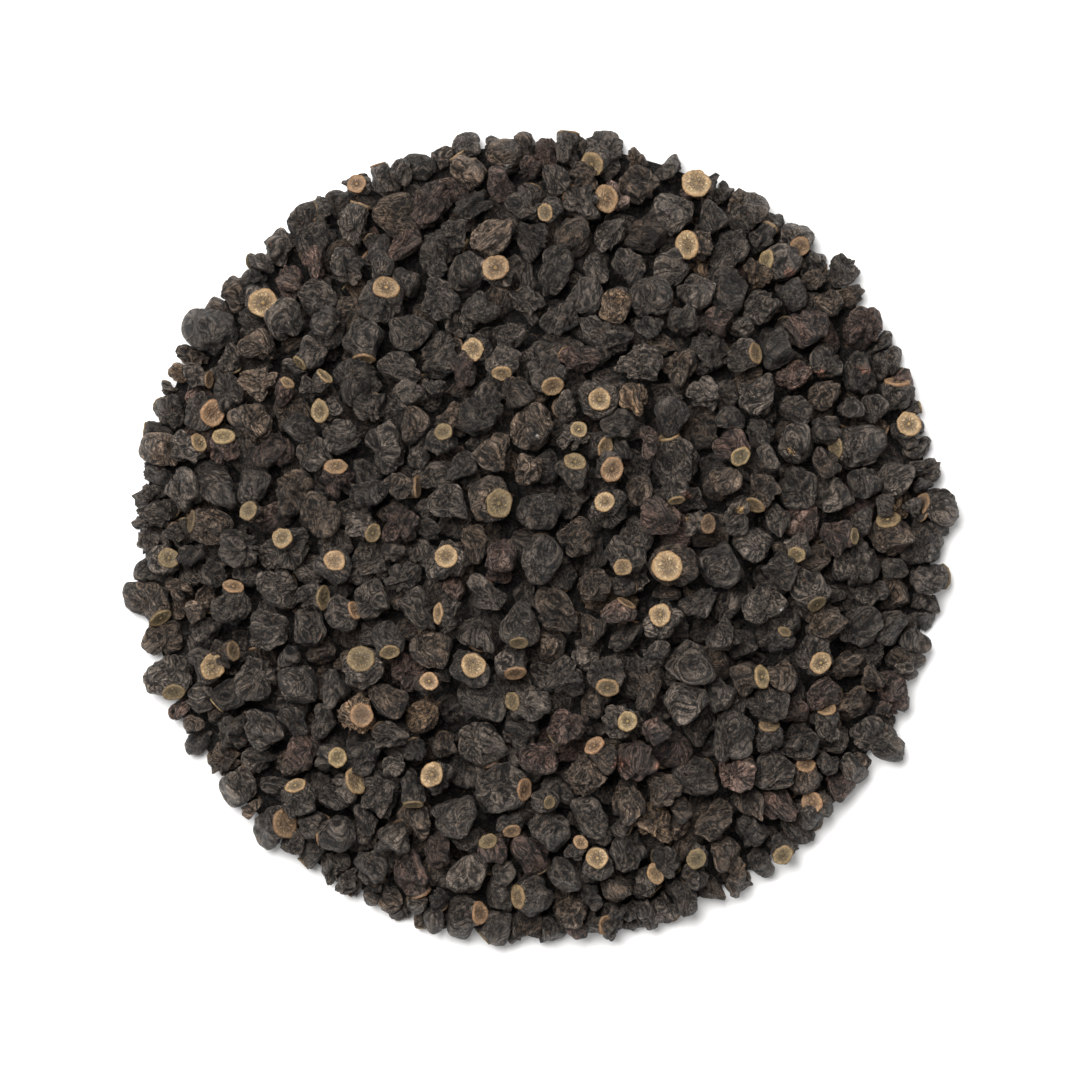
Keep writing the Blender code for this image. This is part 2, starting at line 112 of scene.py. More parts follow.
# The heap: the same berries in the same places as in the solid, in millimetres
heap = {
    "radius": 53.6, "height": 20.0, "rimHeight": 4.4, "slope": 1.9,
    "fillers": 930, "rimFillers": 160, "seed": 411,
    "middleWidth": 5.5, "widthSpread": 0.95, "leastWidth": 3.6, "greatestWidth": 7.4,
    "squeeze": 0.9, "settleSteps": 240, "pairSteps": 8, "nearMargin": 1.2,
    "push": 0.34, "drop": 0.02, "deepestSink": 2.2, "deepestInset": 2.0,
    "leastGirth": 0.66, "lengths": (0.84, 1.06), "crownShares": (0.42, 0.56), "plainCrown": 0.48,
    "dents": 4, "dentDepths": (0.05, 0.26), "dentReach": 0.16, "crownFade": 1.6,
    "crownOut": 0.45, "middleDown": 0.47,  # from a berry's middle to its crown and to the top, in widths
    "rimSide": 0.95, "underSide": 0.9,  # from a berry's middle to the rim or top, and to the table, in radii
    "heldRise": 0.3,  # how freely a berry that the picture fixes may move up or down
    "keystoneWidth": 6.6, "keystoneHeight": 0.62,
    "middlePixel": (538, 538),
    # x, y of the crown, berry width, crown width, lean of the crown from upright, way it leans
    "crowned": [
        (357, 184, 4.6, 2.6, 15, 90), (310, 212, 4.8, 2.8, 55, 180), (264, 304, 5.8, 3.9, 12, 270),
        (387, 289, 7.4, 3.7, 45, 80), (326, 377, 5.0, 2.6, 65, 50), (365, 362, 6.6, 3.0, 68, 265),
        (216, 414, 6.0, 3.6, 35, 350), (225, 434, 5.4, 3.2, 55, 90), (200, 443, 6.0, 2.6, 45, 30),
        (319, 412, 4.8, 3.1, 42, 180), (337, 465, 5.8, 3.1, 52, 95), (250, 511, 5.0, 2.6, 28, 145),
        (283, 537, 7.0, 2.8, 30, 130), (336, 560, 5.4, 2.9, 15, 90), (170, 558, 5.6, 2.8, 15, 60),
        (374, 533, 5.2, 2.5, 35, 330), (235, 585, 6.6, 2.9, 55, 80), (327, 597, 5.2, 3.3, 58, 0),
        (161, 617, 7.0, 3.2, 60, 300), (237, 650, 5.2, 2.7, 55, 10), (215, 667, 6.2, 3.6, 25, 330),
        (362, 656, 6.8, 3.7, 25, 90), (391, 651, 5.2, 2.7, 50, 280), (175, 693, 7.2, 3.0, 45, 270),
        (363, 714, 6.4, 3.1, 14, 0), (338, 756, 5.2, 2.7, 30, 350), (359, 779, 5.0, 3.6, 52, 20),
        (296, 784, 6.2, 2.8, 50, 110), (288, 823, 7.0, 4.2, 42, 0), (430, 680, 4.4, 2.5, 10, 90),
        (474, 664, 6.4, 3.4, 15, 30), (516, 674, 5.6, 2.9, 58, 280), (519, 641, 6.4, 2.5, 55, 270),
        (438, 613, 5.0, 2.9, 65, 180), (447, 556, 6.4, 3.0, 8, 90), (470, 420, 6.6, 2.8, 45, 0),
        (444, 431, 5.2, 2.6, 38, 95), (473, 351, 5.8, 3.1, 12, 200), (495, 269, 5.8, 3.7, 20, 150),
        (502, 375, 5.2, 2.7, 45, 270), (553, 388, 6.2, 3.1, 42, 300), (599, 401, 6.6, 3.0, 10, 300),
        (545, 214, 4.6, 2.5, 35, 200), (602, 200, 5.4, 3.9, 42, 180), (592, 165, 7.0, 3.4, 38, 215),
        (696, 184, 6.8, 4.0, 12, 110), (684, 246, 5.8, 3.8, 38, 180), (799, 247, 5.8, 2.8, 28, 300),
        (763, 261, 6.8, 3.0, 48, 170), (755, 354, 5.2, 2.8, 55, 10), (897, 378, 6.0, 3.6, 74, 85),
        (908, 424, 6.2, 3.4, 15, 80), (836, 448, 7.8, 3.1, 50, 185), (886, 517, 7.4, 3.4, 50, 105),
        (920, 503, 6.2, 2.9, 52, 165), (795, 555, 4.6, 2.4, 35, 260), (815, 603, 6.2, 2.8, 58, 300),
        (820, 663, 7.4, 3.1, 28, 320), (762, 676, 5.6, 3.2, 55, 10), (768, 724, 5.2, 2.7, 52, 90),
        (805, 764, 6.2, 2.6, 48, 90), (810, 802, 5.2, 3.0, 20, 190), (782, 854, 6.0, 2.9, 28, 290),
        (696, 858, 4.8, 2.8, 15, 270), (656, 872, 5.2, 2.8, 42, 30), (597, 856, 4.8, 2.9, 12, 90),
        (606, 924, 5.6, 2.8, 40, 350), (517, 896, 7.0, 3.4, 58, 190), (481, 912, 6.6, 3.2, 48, 10),
        (488, 839, 5.0, 2.5, 45, 110), (525, 788, 7.6, 3.1, 55, 355), (432, 773, 6.4, 3.5, 25, 150),
        (593, 743, 5.2, 3.0, 50, 120), (627, 720, 5.6, 2.7, 22, 0), (607, 687, 6.8, 3.2, 42, 275),
        (659, 614, 6.4, 3.0, 8, 120), (665, 566, 7.4, 4.1, 20, 180), (622, 567, 5.8, 2.5, 32, 275),
        (604, 502, 6.8, 2.7, 10, 90), (612, 470, 5.0, 3.3, 30, 340), (575, 461, 6.0, 3.0, 42, 90),
        (500, 504, 7.4, 3.8, 20, 330), (581, 840, 4.6, 2.1, 35, 60), (414, 804, 5.6, 2.8, 72, 270),
        (212, 380, 4.6, 2.2, 62, 0), (289, 383, 4.4, 2.1, 58, 55), (301, 364, 5.0, 2.6, 72, 225),
        (190, 521, 6.8, 3.0, 74, 170), (420, 487, 5.4, 3.2, 76, 0), (578, 431, 5.2, 2.4, 35, 60),
        (606, 448, 5.0, 2.8, 45, 345), (668, 439, 7.8, 3.0, 74, 105), (740, 458, 5.4, 2.8, 40, 315),
        (676, 503, 4.6, 2.4, 68, 280), (753, 506, 5.6, 2.8, 55, 240), (708, 524, 4.8, 2.7, 45, 0),
        (855, 536, 6.4, 2.2, 60, 0), (783, 631, 4.4, 1.9, 50, 60), (627, 600, 5.0, 2.8, 76, 60),
        (512, 700, 6.4, 2.8, 50, 185), (550, 801, 4.8, 1.9, 40, 340), (512, 831, 4.8, 2.4, 50, 280),
        (825, 707, 6.8, 2.8, 55, 100), (355, 610, 5.2, 2.6, 60, 20),
    ],
    # x, y of the berry's middle and its width
    "plain": [
        (862, 328, 7.8), (824, 362, 6.4), (695, 292, 6.6), (762, 308, 6.4), (720, 565, 6.8), (855, 625, 7.2),
        (925, 577, 7.2), (872, 738, 7.4), (712, 818, 7.4), (680, 897, 6.8), (735, 876, 6.2), (627, 798, 6.6),
        (585, 772, 6.4), (455, 814, 7.0), (568, 912, 7.4), (340, 830, 6.8), (240, 786, 6.6), (267, 732, 6.6),
        (300, 684, 6.6), (272, 632, 7.4), (160, 512, 6.2), (346, 437, 6.0), (215, 333, 7.6), (347, 272, 6.6),
        (430, 208, 7.6), (506, 158, 6.4), (470, 150, 5.8), (640, 188, 6.8), (574, 236, 6.6), (640, 366, 7.0),
        (534, 428, 7.2), (757, 396, 6.6), (704, 398, 6.0), (745, 212, 6.6), (836, 272, 5.8), (576, 532, 6.2),
        (590, 584, 6.2), (720, 636, 6.0), (682, 704, 7.2), (735, 770, 6.6), (892, 480, 6.0), (718, 484, 5.8),
        (763, 605, 6.6), (568, 723, 6.4), (541, 757, 5.4), (661, 789, 5.6), (618, 310, 5.2), (527, 470, 4.8),
        (500, 555, 5.4), (464, 372, 5.6),
    ],
}


def dome(x, y):
    # height of the heap's top: rim + (top - rim) * (1 - (distance / radius) ^ slope)
    reach = np.minimum(np.hypot(x, y) / heap["radius"], 1.0)
    return heap["rimHeight"] + (heap["height"] - heap["rimHeight"]) * (1.0 - reach**heap["slope"])


def toHeap(pixelX, pixelY):
    x = (np.asarray(pixelX, float) - heap["middlePixel"][0]) * studio["mmPerPixel"]
    y = (heap["middlePixel"][1] - np.asarray(pixelY, float)) * studio["mmPerPixel"]
    return x, y


def unit(vectors):
    return vectors / np.linalg.norm(vectors, axis=-1, keepdims=True)


def seenBerries(draw):
    # the berries that the picture fixes: each crown's place and lean give its berry's middle
    pixelX, pixelY, width, crown, lean, way = np.array(heap["crowned"], float).T
    lean, way = np.radians(lean), np.radians(way)
    facing = np.stack([np.sin(lean) * np.cos(way), np.sin(lean) * np.sin(way), np.cos(lean)], 1)
    x, y = toHeap(pixelX, pixelY)
    x = x - heap["crownOut"] * width * facing[:, 0]
    y = y - heap["crownOut"] * width * facing[:, 1]
    plainX, plainY, plainWidth = np.array(heap["plain"], float).T
    plainX, plainY = toHeap(plainX, plainY)
    hidden = unit(draw.normal(size=(len(plainX), 3)))
    hidden[:, 2] = -np.abs(hidden[:, 2]) - 0.1
    width = np.concatenate([width, plainWidth])
    crown = np.concatenate([crown, heap["plainCrown"] * plainWidth])
    facing = unit(np.concatenate([facing, hidden]))
    x, y = np.concatenate([x, plainX]), np.concatenate([y, plainY])
    return np.stack([x, y, dome(x, y) - heap["middleDown"] * width], 1), width, crown, facing


def withKeystone(centre, width, crown, facing):
    wide = heap["keystoneWidth"]
    place = (0.0, 0.0, 0.5 * heap["keystoneHeight"] * wide)
    return (
        np.concatenate([[place], centre]),
        np.concatenate([[wide], width]),
        np.concatenate([[0.5 * wide], crown]),
        np.concatenate([[(0.0, 0.0, 1.0)], facing]),
    )


def touching(centre, reach):
    gap = centre[:, None] - centre[None]
    near = (gap**2).sum(2) < (reach[:, None] + reach[None] + heap["nearMargin"]) ** 2
    return np.nonzero(np.triu(near, 1))


def settled(centre, radius, sink, inset, held):
    # berries that overlap push each other apart, sink a little, and stay on the table and under the dome
    centre = centre.copy()
    count = len(radius)
    free = np.where(held, 0.0, 1.0)
    give = np.stack([free, free, heap["heldRise"] + (1.0 - heap["heldRise"]) * free], 1)
    give[0] = 0.0
    for step in range(heap["settleSteps"]):
        if step % heap["pairSteps"] == 0:
            centre = np.round(centre, 6)
            one, other = touching(centre, radius)
            reach = heap["squeeze"] * (radius[one] + radius[other])
        gap = centre[one] - centre[other]
        distance = np.sqrt((gap**2).sum(1)) + 1e-6
        push = gap * (heap["push"] * np.maximum(reach - distance, 0.0) / distance)[:, None]
        for axis in range(3):
            moved = np.bincount(one, push[:, axis], count) - np.bincount(other, push[:, axis], count)
            centre[:, axis] += moved * give[:, axis]
        centre[:, 2] -= heap["drop"] * free
        rim = np.hypot(centre[:, 0], centre[:, 1]) + 1e-6
        inward = np.minimum(1.0, (heap["radius"] - heap["rimSide"] * radius - inset) / rim)
        centre[:, :2] *= np.where(held, 1.0, inward)[:, None]
        ceiling = dome(centre[:, 0], centre[:, 1]) - heap["rimSide"] * radius - sink
        height = np.maximum(np.minimum(centre[:, 2], ceiling), heap["underSide"] * radius)
        centre[1:, 2] = height[1:]
    return np.round(centre, 3)


def layBerries():
    # every berry as arrays, drawn in one fixed order so that each lies where the solid has it
    draw = np.random.default_rng(heap["seed"])
    count = heap["fillers"]
    centre, width, crown, facing = withKeystone(*seenBerries(draw))
    seen = len(width)
    filler = draw.normal(heap["middleWidth"], heap["widthSpread"], count)
    filler = np.clip(filler, heap["leastWidth"], heap["greatestWidth"])
    # six times as many starts as berries, because those outside the mound are dropped
    block = draw.uniform(-1.0, 1.0, (6 * count, 3)) * [heap["radius"], heap["radius"], heap["height"]]
    block[:, 2] = np.abs(block[:, 2])
    inside = np.hypot(block[:, 0], block[:, 1]) < heap["radius"]
    start = block[inside & (block[:, 2] < dome(block[:, 0], block[:, 1]))][:count]
    rim = start[:heap["rimFillers"]]
    rim[:, :2] *= (heap["radius"] / np.hypot(rim[:, 0], rim[:, 1]))[:, None]
    width = np.concatenate([width, filler])
    crown = np.concatenate([crown, filler * draw.uniform(*heap["crownShares"], count)])
    aside = unit(draw.normal(size=(count, 3)))
    aside[:, 2] = -np.abs(aside[:, 2])
    facing = np.concatenate([facing, aside])
    sink = np.concatenate([np.zeros(seen), heap["deepestSink"] * draw.random(count) ** 2])
    inset = heap["deepestInset"] * draw.random(len(width)) ** 2
    centre = np.concatenate([centre, start])
    centre = settled(centre, 0.5 * width, sink, inset, np.arange(len(width)) < seen)
    dentDepth = draw.uniform(*heap["dentDepths"], (len(width), heap["dents"]))
    dentDepth[0] = 0.0
    side = draw.normal(size=(len(width), 3))
    girth = draw.uniform(heap["leastGirth"], 1.0, len(width))
    girth[:seen] = 0.5 + 0.5 * girth[:seen]
    length = draw.uniform(*heap["lengths"], len(width))
    dent = unit(draw.normal(size=(len(width), heap["dents"], 3)))
    across = unit(np.cross(facing, side))
    return {
        "centre": centre, "width": width, "crown": crown, "facing": facing, "girth": girth, "length": length,
        "dent": dent, "dentDepth": dentDepth,
        "axes": np.stack([across, np.cross(facing, across), facing], 1),
        "flat": length * np.sqrt(1.0 - (crown / width) ** 2),
        "crowned": np.arange(len(width)) <= len(heap["crowned"]),
    }


berries = layBerries()
print("stage 3:", len(berries["width"]), "berries laid")


# The skin of each berry. Lengths are in millimetres on the real fruit
skin = {
    # squares along a side of the cube that is blown up to a berry, and how many square mm of it must show
    "gridSteps": {"near": 12, "middle": 7, "far": 5, "hidden": 3},
    "shownFrom": {"near": 14.0, "middle": 6.5, "far": 0.3, "hidden": -1.0},
    "lean": 0.74,  # below 1 the grid is finer on the side that shows
    # skins start this much larger than their ball, because all that follows sinks them
    "seenSwell": 1.25, "fillerSwell": 1.55, "rimSwell": 1.24,
    "rimFrom": 44.0, "rimBlend": 6.0,  # where the rim starts, from the heap's middle
    # planes shared with the nearest berries, the least depth of one, and how far past it a skin starts
    "neighbours": 12, "leastShare": 0.34, "seenPast": 1.05, "fillerPast": 1.2,
    # flats where a berry was pressed, as shares of its radius. A higher power gives them sharper edges
    "pressedSides": 7, "leastPress": 0.66, "mostPress": 1.15, "edgePower": 10.0,
    # long deep pinches, folds, and creases that follow the folds
    "pinchSize": 4.6, "pinchDepth": 0.75, "pinchSharpness": 4.0,
    "foldSize": 2.0, "foldDepth": 0.85, "foldSharpness": 2.6,
    "creaseSize": 1.2, "creaseDepth": 0.3, "creaseSharpness": 3.2, "creaseWander": 0.6,
    "foldLengths": (0.25, 0.8),  # below 1 the folds run from crown to tail
    "foldScales": (0.8, 1.5),
    "wander": 0.6, "wanderSize": 2.7,  # how far the folds wander, and over what length
    "wrinkles": (0.25, 1.35),
    # how far the tail narrows and bends aside, as shares of the radius
    "mostTaper": 0.42, "mostBend": 0.22, "tailPower": 1.6,
    # round the crown: where wrinkles start, the radians over which they come in, and faint rings
    "wrinklesFrom": 0.92, "wrinklesOver": 0.4, "collarStep": 0.2, "collarDepth": 0.035, "collarReach": 0.45,
    # painted shade: how dark each kind of hollow is painted in the skin's colour
    "foldShade": 0.35, "creaseShade": 0.7, "pinchShade": 0.9, "dentShade": 1.5,
}


def latticeNoise(place, seed):
    # gradient noise: a hashed slope at each of the eight corners round a point, blended by
    # 6t^5 - 15t^4 + 10t^3
    base = np.floor(place)
    part = (place - base).astype(np.float32)
    base = base.astype(np.int64)
    ease = part**3 * (part * (part * 6.0 - 15.0) + 10.0)
    total = np.zeros(place.shape[:-1], np.float32)
    for corner in range(8):
        step = np.array([corner & 1, (corner >> 1) & 1, (corner >> 2) & 1])
        cell = base + step
        key = cell[..., 0] * 73856093 ^ cell[..., 1] * 19349663 ^ cell[..., 2] * 83492791 ^ (seed * 2654435761)
        key = (key & 0xFFFFFFFF).astype(np.uint32)
        key = (key ^ (key >> np.uint32(15))) * np.uint32(739982445)
        key = (key ^ (key >> np.uint32(12))) * np.uint32(695872825)
        key = key ^ (key >> np.uint32(15))
        weight = np.where(step, ease, 1.0 - ease).prod(-1)
        for axis in range(3):
            slope = ((key >> np.uint32(10 * axis)) & np.uint32(1023)).astype(np.float32) / 511.5 - 1.0
            total += weight * slope * (part[..., axis] - step[axis])
    return total


def blownCube(steps, lean):
    # directions: tan(u * pi/4), tan(v * pi/4) on each of a cube's six sides, made unit length. Then the
    # polar angle t becomes t * (lean + (1 - lean) * t / pi), so that the grid is finer round +Z. Shared
    # edges are merged
    line = np.tan(np.linspace(-1.0, 1.0, steps + 1) * math.pi / 4)
    u, v = np.meshgrid(line, line, indexing="ij")
    one = np.ones_like(u)
    sides = [(u, v, one), (v, u, -one), (one, u, v), (-one, v, u), (v, one, u), (u, -one, v)]
    point = np.concatenate([np.stack(side, -1).reshape(-1, 3) for side in sides])
    corner = np.arange(6 * (steps + 1) ** 2).reshape(6, steps + 1, steps + 1)
    face = np.stack([corner[:, :-1, :-1], corner[:, 1:, :-1], corner[:, 1:, 1:], corner[:, :-1, 1:]], -1)
    _, first, index = np.unique(np.round(point, 6), axis=0, return_index=True, return_inverse=True)
    ray = unit(point[first])
    polar = np.arccos(np.clip(ray[:, 2], -1.0, 1.0))
    bent = polar * (lean + (1.0 - lean) * polar / math.pi)
    flat = ray[:, :2] / np.maximum(np.sin(polar), 1e-9)[:, None]
    ray = np.concatenate([flat * np.sin(bent)[:, None], np.cos(bent)[:, None]], 1)
    return ray, index.reshape(-1)[face.reshape(-1, 4)]


def ridged(noise, sharpness):
    # 1 on the line where the noise crosses zero, falling to 0 in the broad hollows between
    return 1.0 - np.minimum(np.abs(noise) * sharpness, 1.0)


def bell(distance, width):
    # exp(-(distance / width)^2)
    return np.exp(-((distance / width) ** 2))


def turnedRays(mine, ray):
    # the rays of the grid, turned so that its fine end faces the side that shows, in each berry's own axes
    axes, toward = mine["axes"], mine["toward"]
    side = unit(np.cross(toward, axes[:, 0] + 0.37 * axes[:, 1]))
    basis = np.stack([side, np.cross(toward, side), toward], 1)
    return np.einsum("pk,nkw,naw->npa", ray, basis, axes)


def wrinkles(mine, local):
    # folds, creases and pinches from 0 to 1: noise on each berry's own patch of space, stretched along it
    radius = 0.5 * mine["width"][:, None, None]
    own = local * radius + mine["offset"][:, None]
    wander = np.stack([latticeNoise(own / skin["wanderSize"], seed) for seed in (1, 2, 3)], -1)
    along = (own + skin["wander"] * skin["wanderSize"] * wander) * mine["foldShape"][:, None]
    folds = ridged(latticeNoise(along / skin["foldSize"], 4), skin["foldSharpness"])
    crossing = along / skin["creaseSize"] + skin["creaseWander"] * wander
    creases = ridged(latticeNoise(crossing, 5), skin["creaseSharpness"])
    pinches = ridged(latticeNoise(along / skin["pinchSize"] + 7.7, 6), skin["pinchSharpness"]) ** 2
    return along, folds, creases, pinches


def pressedRadius(mine, local):
    # soft minimum of the swollen ball and the planes: (swell^-p + sum((depth / cosine)^-p))^(-1/p)
    outward = np.einsum("npa,nka->npk", local, mine["press"])
    reach = mine["pressDepth"][:, None] / np.maximum(outward, 0.02)
    power = skin["edgePower"]
    swell = mine["swell"][:, None]
    return (swell**-power + (reach**-power).sum(-1)) ** (-1.0 / power)


def berrySkins(mine, ray):
    # radius along each ray = pressed ball * (1 - dents) - pinches - folds - creases + collar, faded out
    # under the crown. Then the tail is tapered and bent, and the berry is narrowed to its girth, stretched
    # to its length, cut flat at the crown and kept above the table
    local = turnedRays(mine, ray)
    radius = 0.5 * mine["width"][:, None]
    closeness = np.einsum("npa,nda->npd", local, mine["dent"])
    dents = (mine["dentDepth"][:, None] * np.exp((closeness - 1.0) / heap["dentReach"])).sum(-1)
    dents = dents * np.clip(heap["crownFade"] * (1.0 - local[..., 2]), 0.0, 1.0)
    along, folds, creases, pinches = wrinkles(mine, local)
    crownAngle = np.arcsin(np.clip(mine["crown"] / mine["width"], 0.0, 0.98))[:, None]
    angle = np.arccos(np.clip(local[..., 2], -1.0, 1.0))
    away = np.clip((angle - skin["wrinklesFrom"] * crownAngle) / skin["wrinklesOver"], 0.0, 1.0)
    away = np.where(mine["padded"][:, None], away, 1.0)
    wrinkle = mine["wrinkle"][:, None]
    sunk = wrinkle * (skin["foldDepth"] * (1.0 - folds) + skin["creaseDepth"] * creases**1.5)
    sunk = skin["pinchDepth"] * pinches * (0.5 + 0.5 * wrinkle) + sunk
    past = angle - crownAngle
    collar = skin["collarDepth"] * mine["collar"][:, None] * (past > 0.0) * bell(past, skin["collarReach"])
    collar = collar * np.cos(2.0 * math.pi * past / skin["collarStep"])
    pressed = 1.0 + (pressedRadius(mine, local) - 1.0) * away
    reach = pressed * (1.0 - dents) - away * sunk / radius + collar
    point = local * reach[..., None]
    tail = np.clip(0.5 - 0.5 * point[..., 2], 0.0, 1.2)
    point[..., :2] *= (1.0 - mine["taper"][:, None] * tail ** skin["tailPower"])[..., None]
    point[..., 0] += mine["bend"][:, None] * np.minimum(point[..., 2], 0.0) ** 2
    point[..., 1] *= mine["girth"][:, None]
    point[..., 2] *= mine["length"][:, None]
    flat = np.where(mine["padded"], mine["flat"], 9.0)[:, None]
    point[..., 2] = np.minimum(point[..., 2], flat)
    inHeap = np.einsum("npa,naw->npw", point, mine["axes"])
    place = mine["centre"][:, None] + radius[..., None] * inHeap
    place[..., 2] = np.maximum(place[..., 2], 0.0)
    # painted light for the skin's colour: a painted highlight on the fold crests, and painted shade in the
    # folds, creases, pinches and dents
    crest = folds**4 * (0.2 + 0.8 * away)
    hollow = (1.0 - folds) * skin["foldShade"] + skin["creaseShade"] * creases**2
    hollow = hollow + skin["pinchShade"] * pinches + skin["dentShade"] * dents
    return place, crest, np.clip(hollow, 0.0, 1.0) * away, along


# How much of each berry can be seen
looking = {
    "step": 0.5,  # mm between the points that are looked at
    "around": 8, "tilt": 25.0,  # views round the heap, and degrees that they look down
    "belowShare": 0.45, "besideShare": 0.45,  # what shows from below or the side counts for less
    "aboveWeight": 1.6, "belowWeight": 0.6, "besideWeight": 0.4,  # for the way that a berry's fine side faces
}


def shownArea(toward):
    # square millimetres of each berry, taken as a ball, that show to someone far off in this direction
    right = unit(np.cross(toward, (0.31, 0.17, 0.05)))
    up = np.cross(toward, right)
    place = berries["centre"] @ np.stack([right, up, toward], 1)
    line = np.arange(-heap["radius"] - 5.0, heap["radius"] + 5.0, looking["step"])
    nearest = np.full((len(line), len(line)), -1e9)
    owner = np.zeros(nearest.shape, int)
    for index, (centre, radius) in enumerate(zip(place, 0.5 * berries["width"])):
        low = np.searchsorted(line, centre[:2] - radius)
        high = np.searchsorted(line, centre[:2] + radius)
        window = (slice(low[0], high[0]), slice(low[1], high[1]))
        rise = radius**2 - (line[window[0], None] - centre[0]) ** 2 - (line[None, window[1]] - centre[1]) ** 2
        nearness = np.where(rise > 0.0, centre[2] + np.sqrt(np.maximum(rise, 0.0)), -1e9)
        nearer = nearness > nearest[window]
        nearest[window] = np.where(nearer, nearness, nearest[window])
        owner[window] = np.where(nearer, index, owner[window])
    return looking["step"] ** 2 * np.bincount(owner[nearest > -1e8], minlength=len(berries["width"]))


def lookOver():
    # how much of each berry shows from above, below and the sides, and which way it mostly shows
    turns = 2.0 * math.pi * np.arange(looking["around"]) / looking["around"]
    level, lift = math.cos(math.radians(looking["tilt"])), math.sin(math.radians(looking["tilt"]))
    around = [np.array((level * math.cos(t), level * math.sin(t), lift)) for t in turns]
    above = shownArea(np.array((0.0, 0.0, 1.0)))
    below = shownArea(np.array((0.0, 0.0, -1.0)))
    beside = np.array([shownArea(view) for view in around])
    toward = above[:, None] * (0.0, 0.0, looking["aboveWeight"])
    toward = toward + below[:, None] * (0.0, 0.0, -looking["belowWeight"])
    toward = toward + beside.T @ np.array(around) * looking["besideWeight"] + (0.0, 0.0, 0.01)
    berries["above"] = above
    below, beside = looking["belowShare"] * below, looking["besideShare"] * beside.max(0)
    berries["shown"] = np.max([above, below, beside], axis=0)
    berries["toward"] = unit(toward)


# Skin colours, linear. The places are pixels of berries that stand out as brown, tan or red
tints = {
    "charcoal": (0.069, 0.0545, 0.043), "brownBlack": (0.086, 0.059, 0.040),
    "plum": (0.090, 0.054, 0.041), "tan": (0.15, 0.094, 0.053),
    "shares": (0.70, 0.215, 0.078, 0.007),  # of the berries that have each of these four
    "spread": 0.22,  # how much lighter or darker they are, as a logarithm
    "brownPlaces": [(618, 310), (527, 470), (575, 533), (822, 556), (659, 786), (740, 480), (700, 470),
                    (250, 640)],
    "redPlaces": [(735, 770), (500, 555), (727, 447), (650, 506), (637, 760), (541, 757), (665, 590)],
    "tanPlaces": [(185, 372), (632, 306)],
    "patchSize": 2.2, "patchSharpness": 2.2, "patchLight": 1.15,
    # x, y, reach in pixels of torn papery flecks, red spots and pale specks, and how ragged they are
    "goldFlecks": [(849, 347, 6), (864, 347, 5), (787, 452, 7), (738, 510, 6), (682, 518, 6), (578, 702, 6),
                   (612, 690, 5)],
    "redSpots": [(688, 495, 7), (789, 274, 7), (818, 376, 8), (865, 371, 7), (190, 521, 8), (620, 762, 9),
                 (660, 764, 6)],
    "paleSpecks": [(580, 436, 3), (536, 437, 3), (508, 168, 4), (796, 619, 4), (780, 609, 3), (579, 697, 3),
                   (632, 707, 4)],
    "gold": (0.27, 0.165, 0.07), "red": (0.20, 0.095, 0.062), "pale": (0.33, 0.31, 0.29),
    "ragged": 0.9, "raggedSize": 0.45, "spotDepth": 3.2,
    "reach": 3.0, "leastAbove": 4.0,  # mm to a berry's middle, and square mm of it seen from above
    "seed": 31,
}


def nearPlaces(places):
    # the berries seen from above whose middles lie nearest these pixels
    x, y = toHeap(*np.array(places, float).T)
    gap = np.hypot(berries["centre"][:, None, 0] - x, berries["centre"][:, None, 1] - y)
    gap = np.where(berries["above"][:, None] > tints["leastAbove"], gap, 1e9)
    return gap.argmin(0)[gap.min(0) < tints["reach"]]


def pickTints():
    # one colour for each berry: mostly charcoal, some brown, plum or tan, a little lighter or darker each.
    # Then its wrinkles, its tail and the sides where it was pressed
    draw = np.random.default_rng(tints["seed"])
    count = len(berries["width"])
    kind = draw.choice(4, count, p=tints["shares"])
    for number, places in ((1, "brownPlaces"), (2, "redPlaces"), (3, "tanPlaces")):
        kind[nearPlaces(tints[places])] = number
    palette = np.array([tints["charcoal"], tints["brownBlack"], tints["plum"], tints["tan"]])
    shade = np.exp(draw.normal(0.0, tints["spread"], count))[:, None]
    berries["tint"] = palette[kind] * shade
    berries["ground"] = 0.5 * (palette[kind] + palette[0]) * shade
    berries["wrinkle"] = draw.uniform(*skin["wrinkles"], count)
    berries["offset"] = draw.uniform(-400.0, 400.0, (count, 3))
    berries["collar"] = draw.random(count) ** 2
    berries["taper"] = skin["mostTaper"] * draw.random(count) ** 1.5
    berries["bend"] = skin["mostBend"] * draw.uniform(-1.0, 1.0, count)
    berries["foldShape"] = np.ones((count, 3)) / draw.uniform(*skin["foldScales"], (count, 1))
    berries["foldShape"][:, 2] *= draw.uniform(*skin["foldLengths"], count)
    berries["press"] = unit(draw.normal(size=(count, skin["pressedSides"], 3)))
    berries["pressDepth"] = draw.uniform(skin["leastPress"], skin["mostPress"], (count, skin["pressedSides"]))


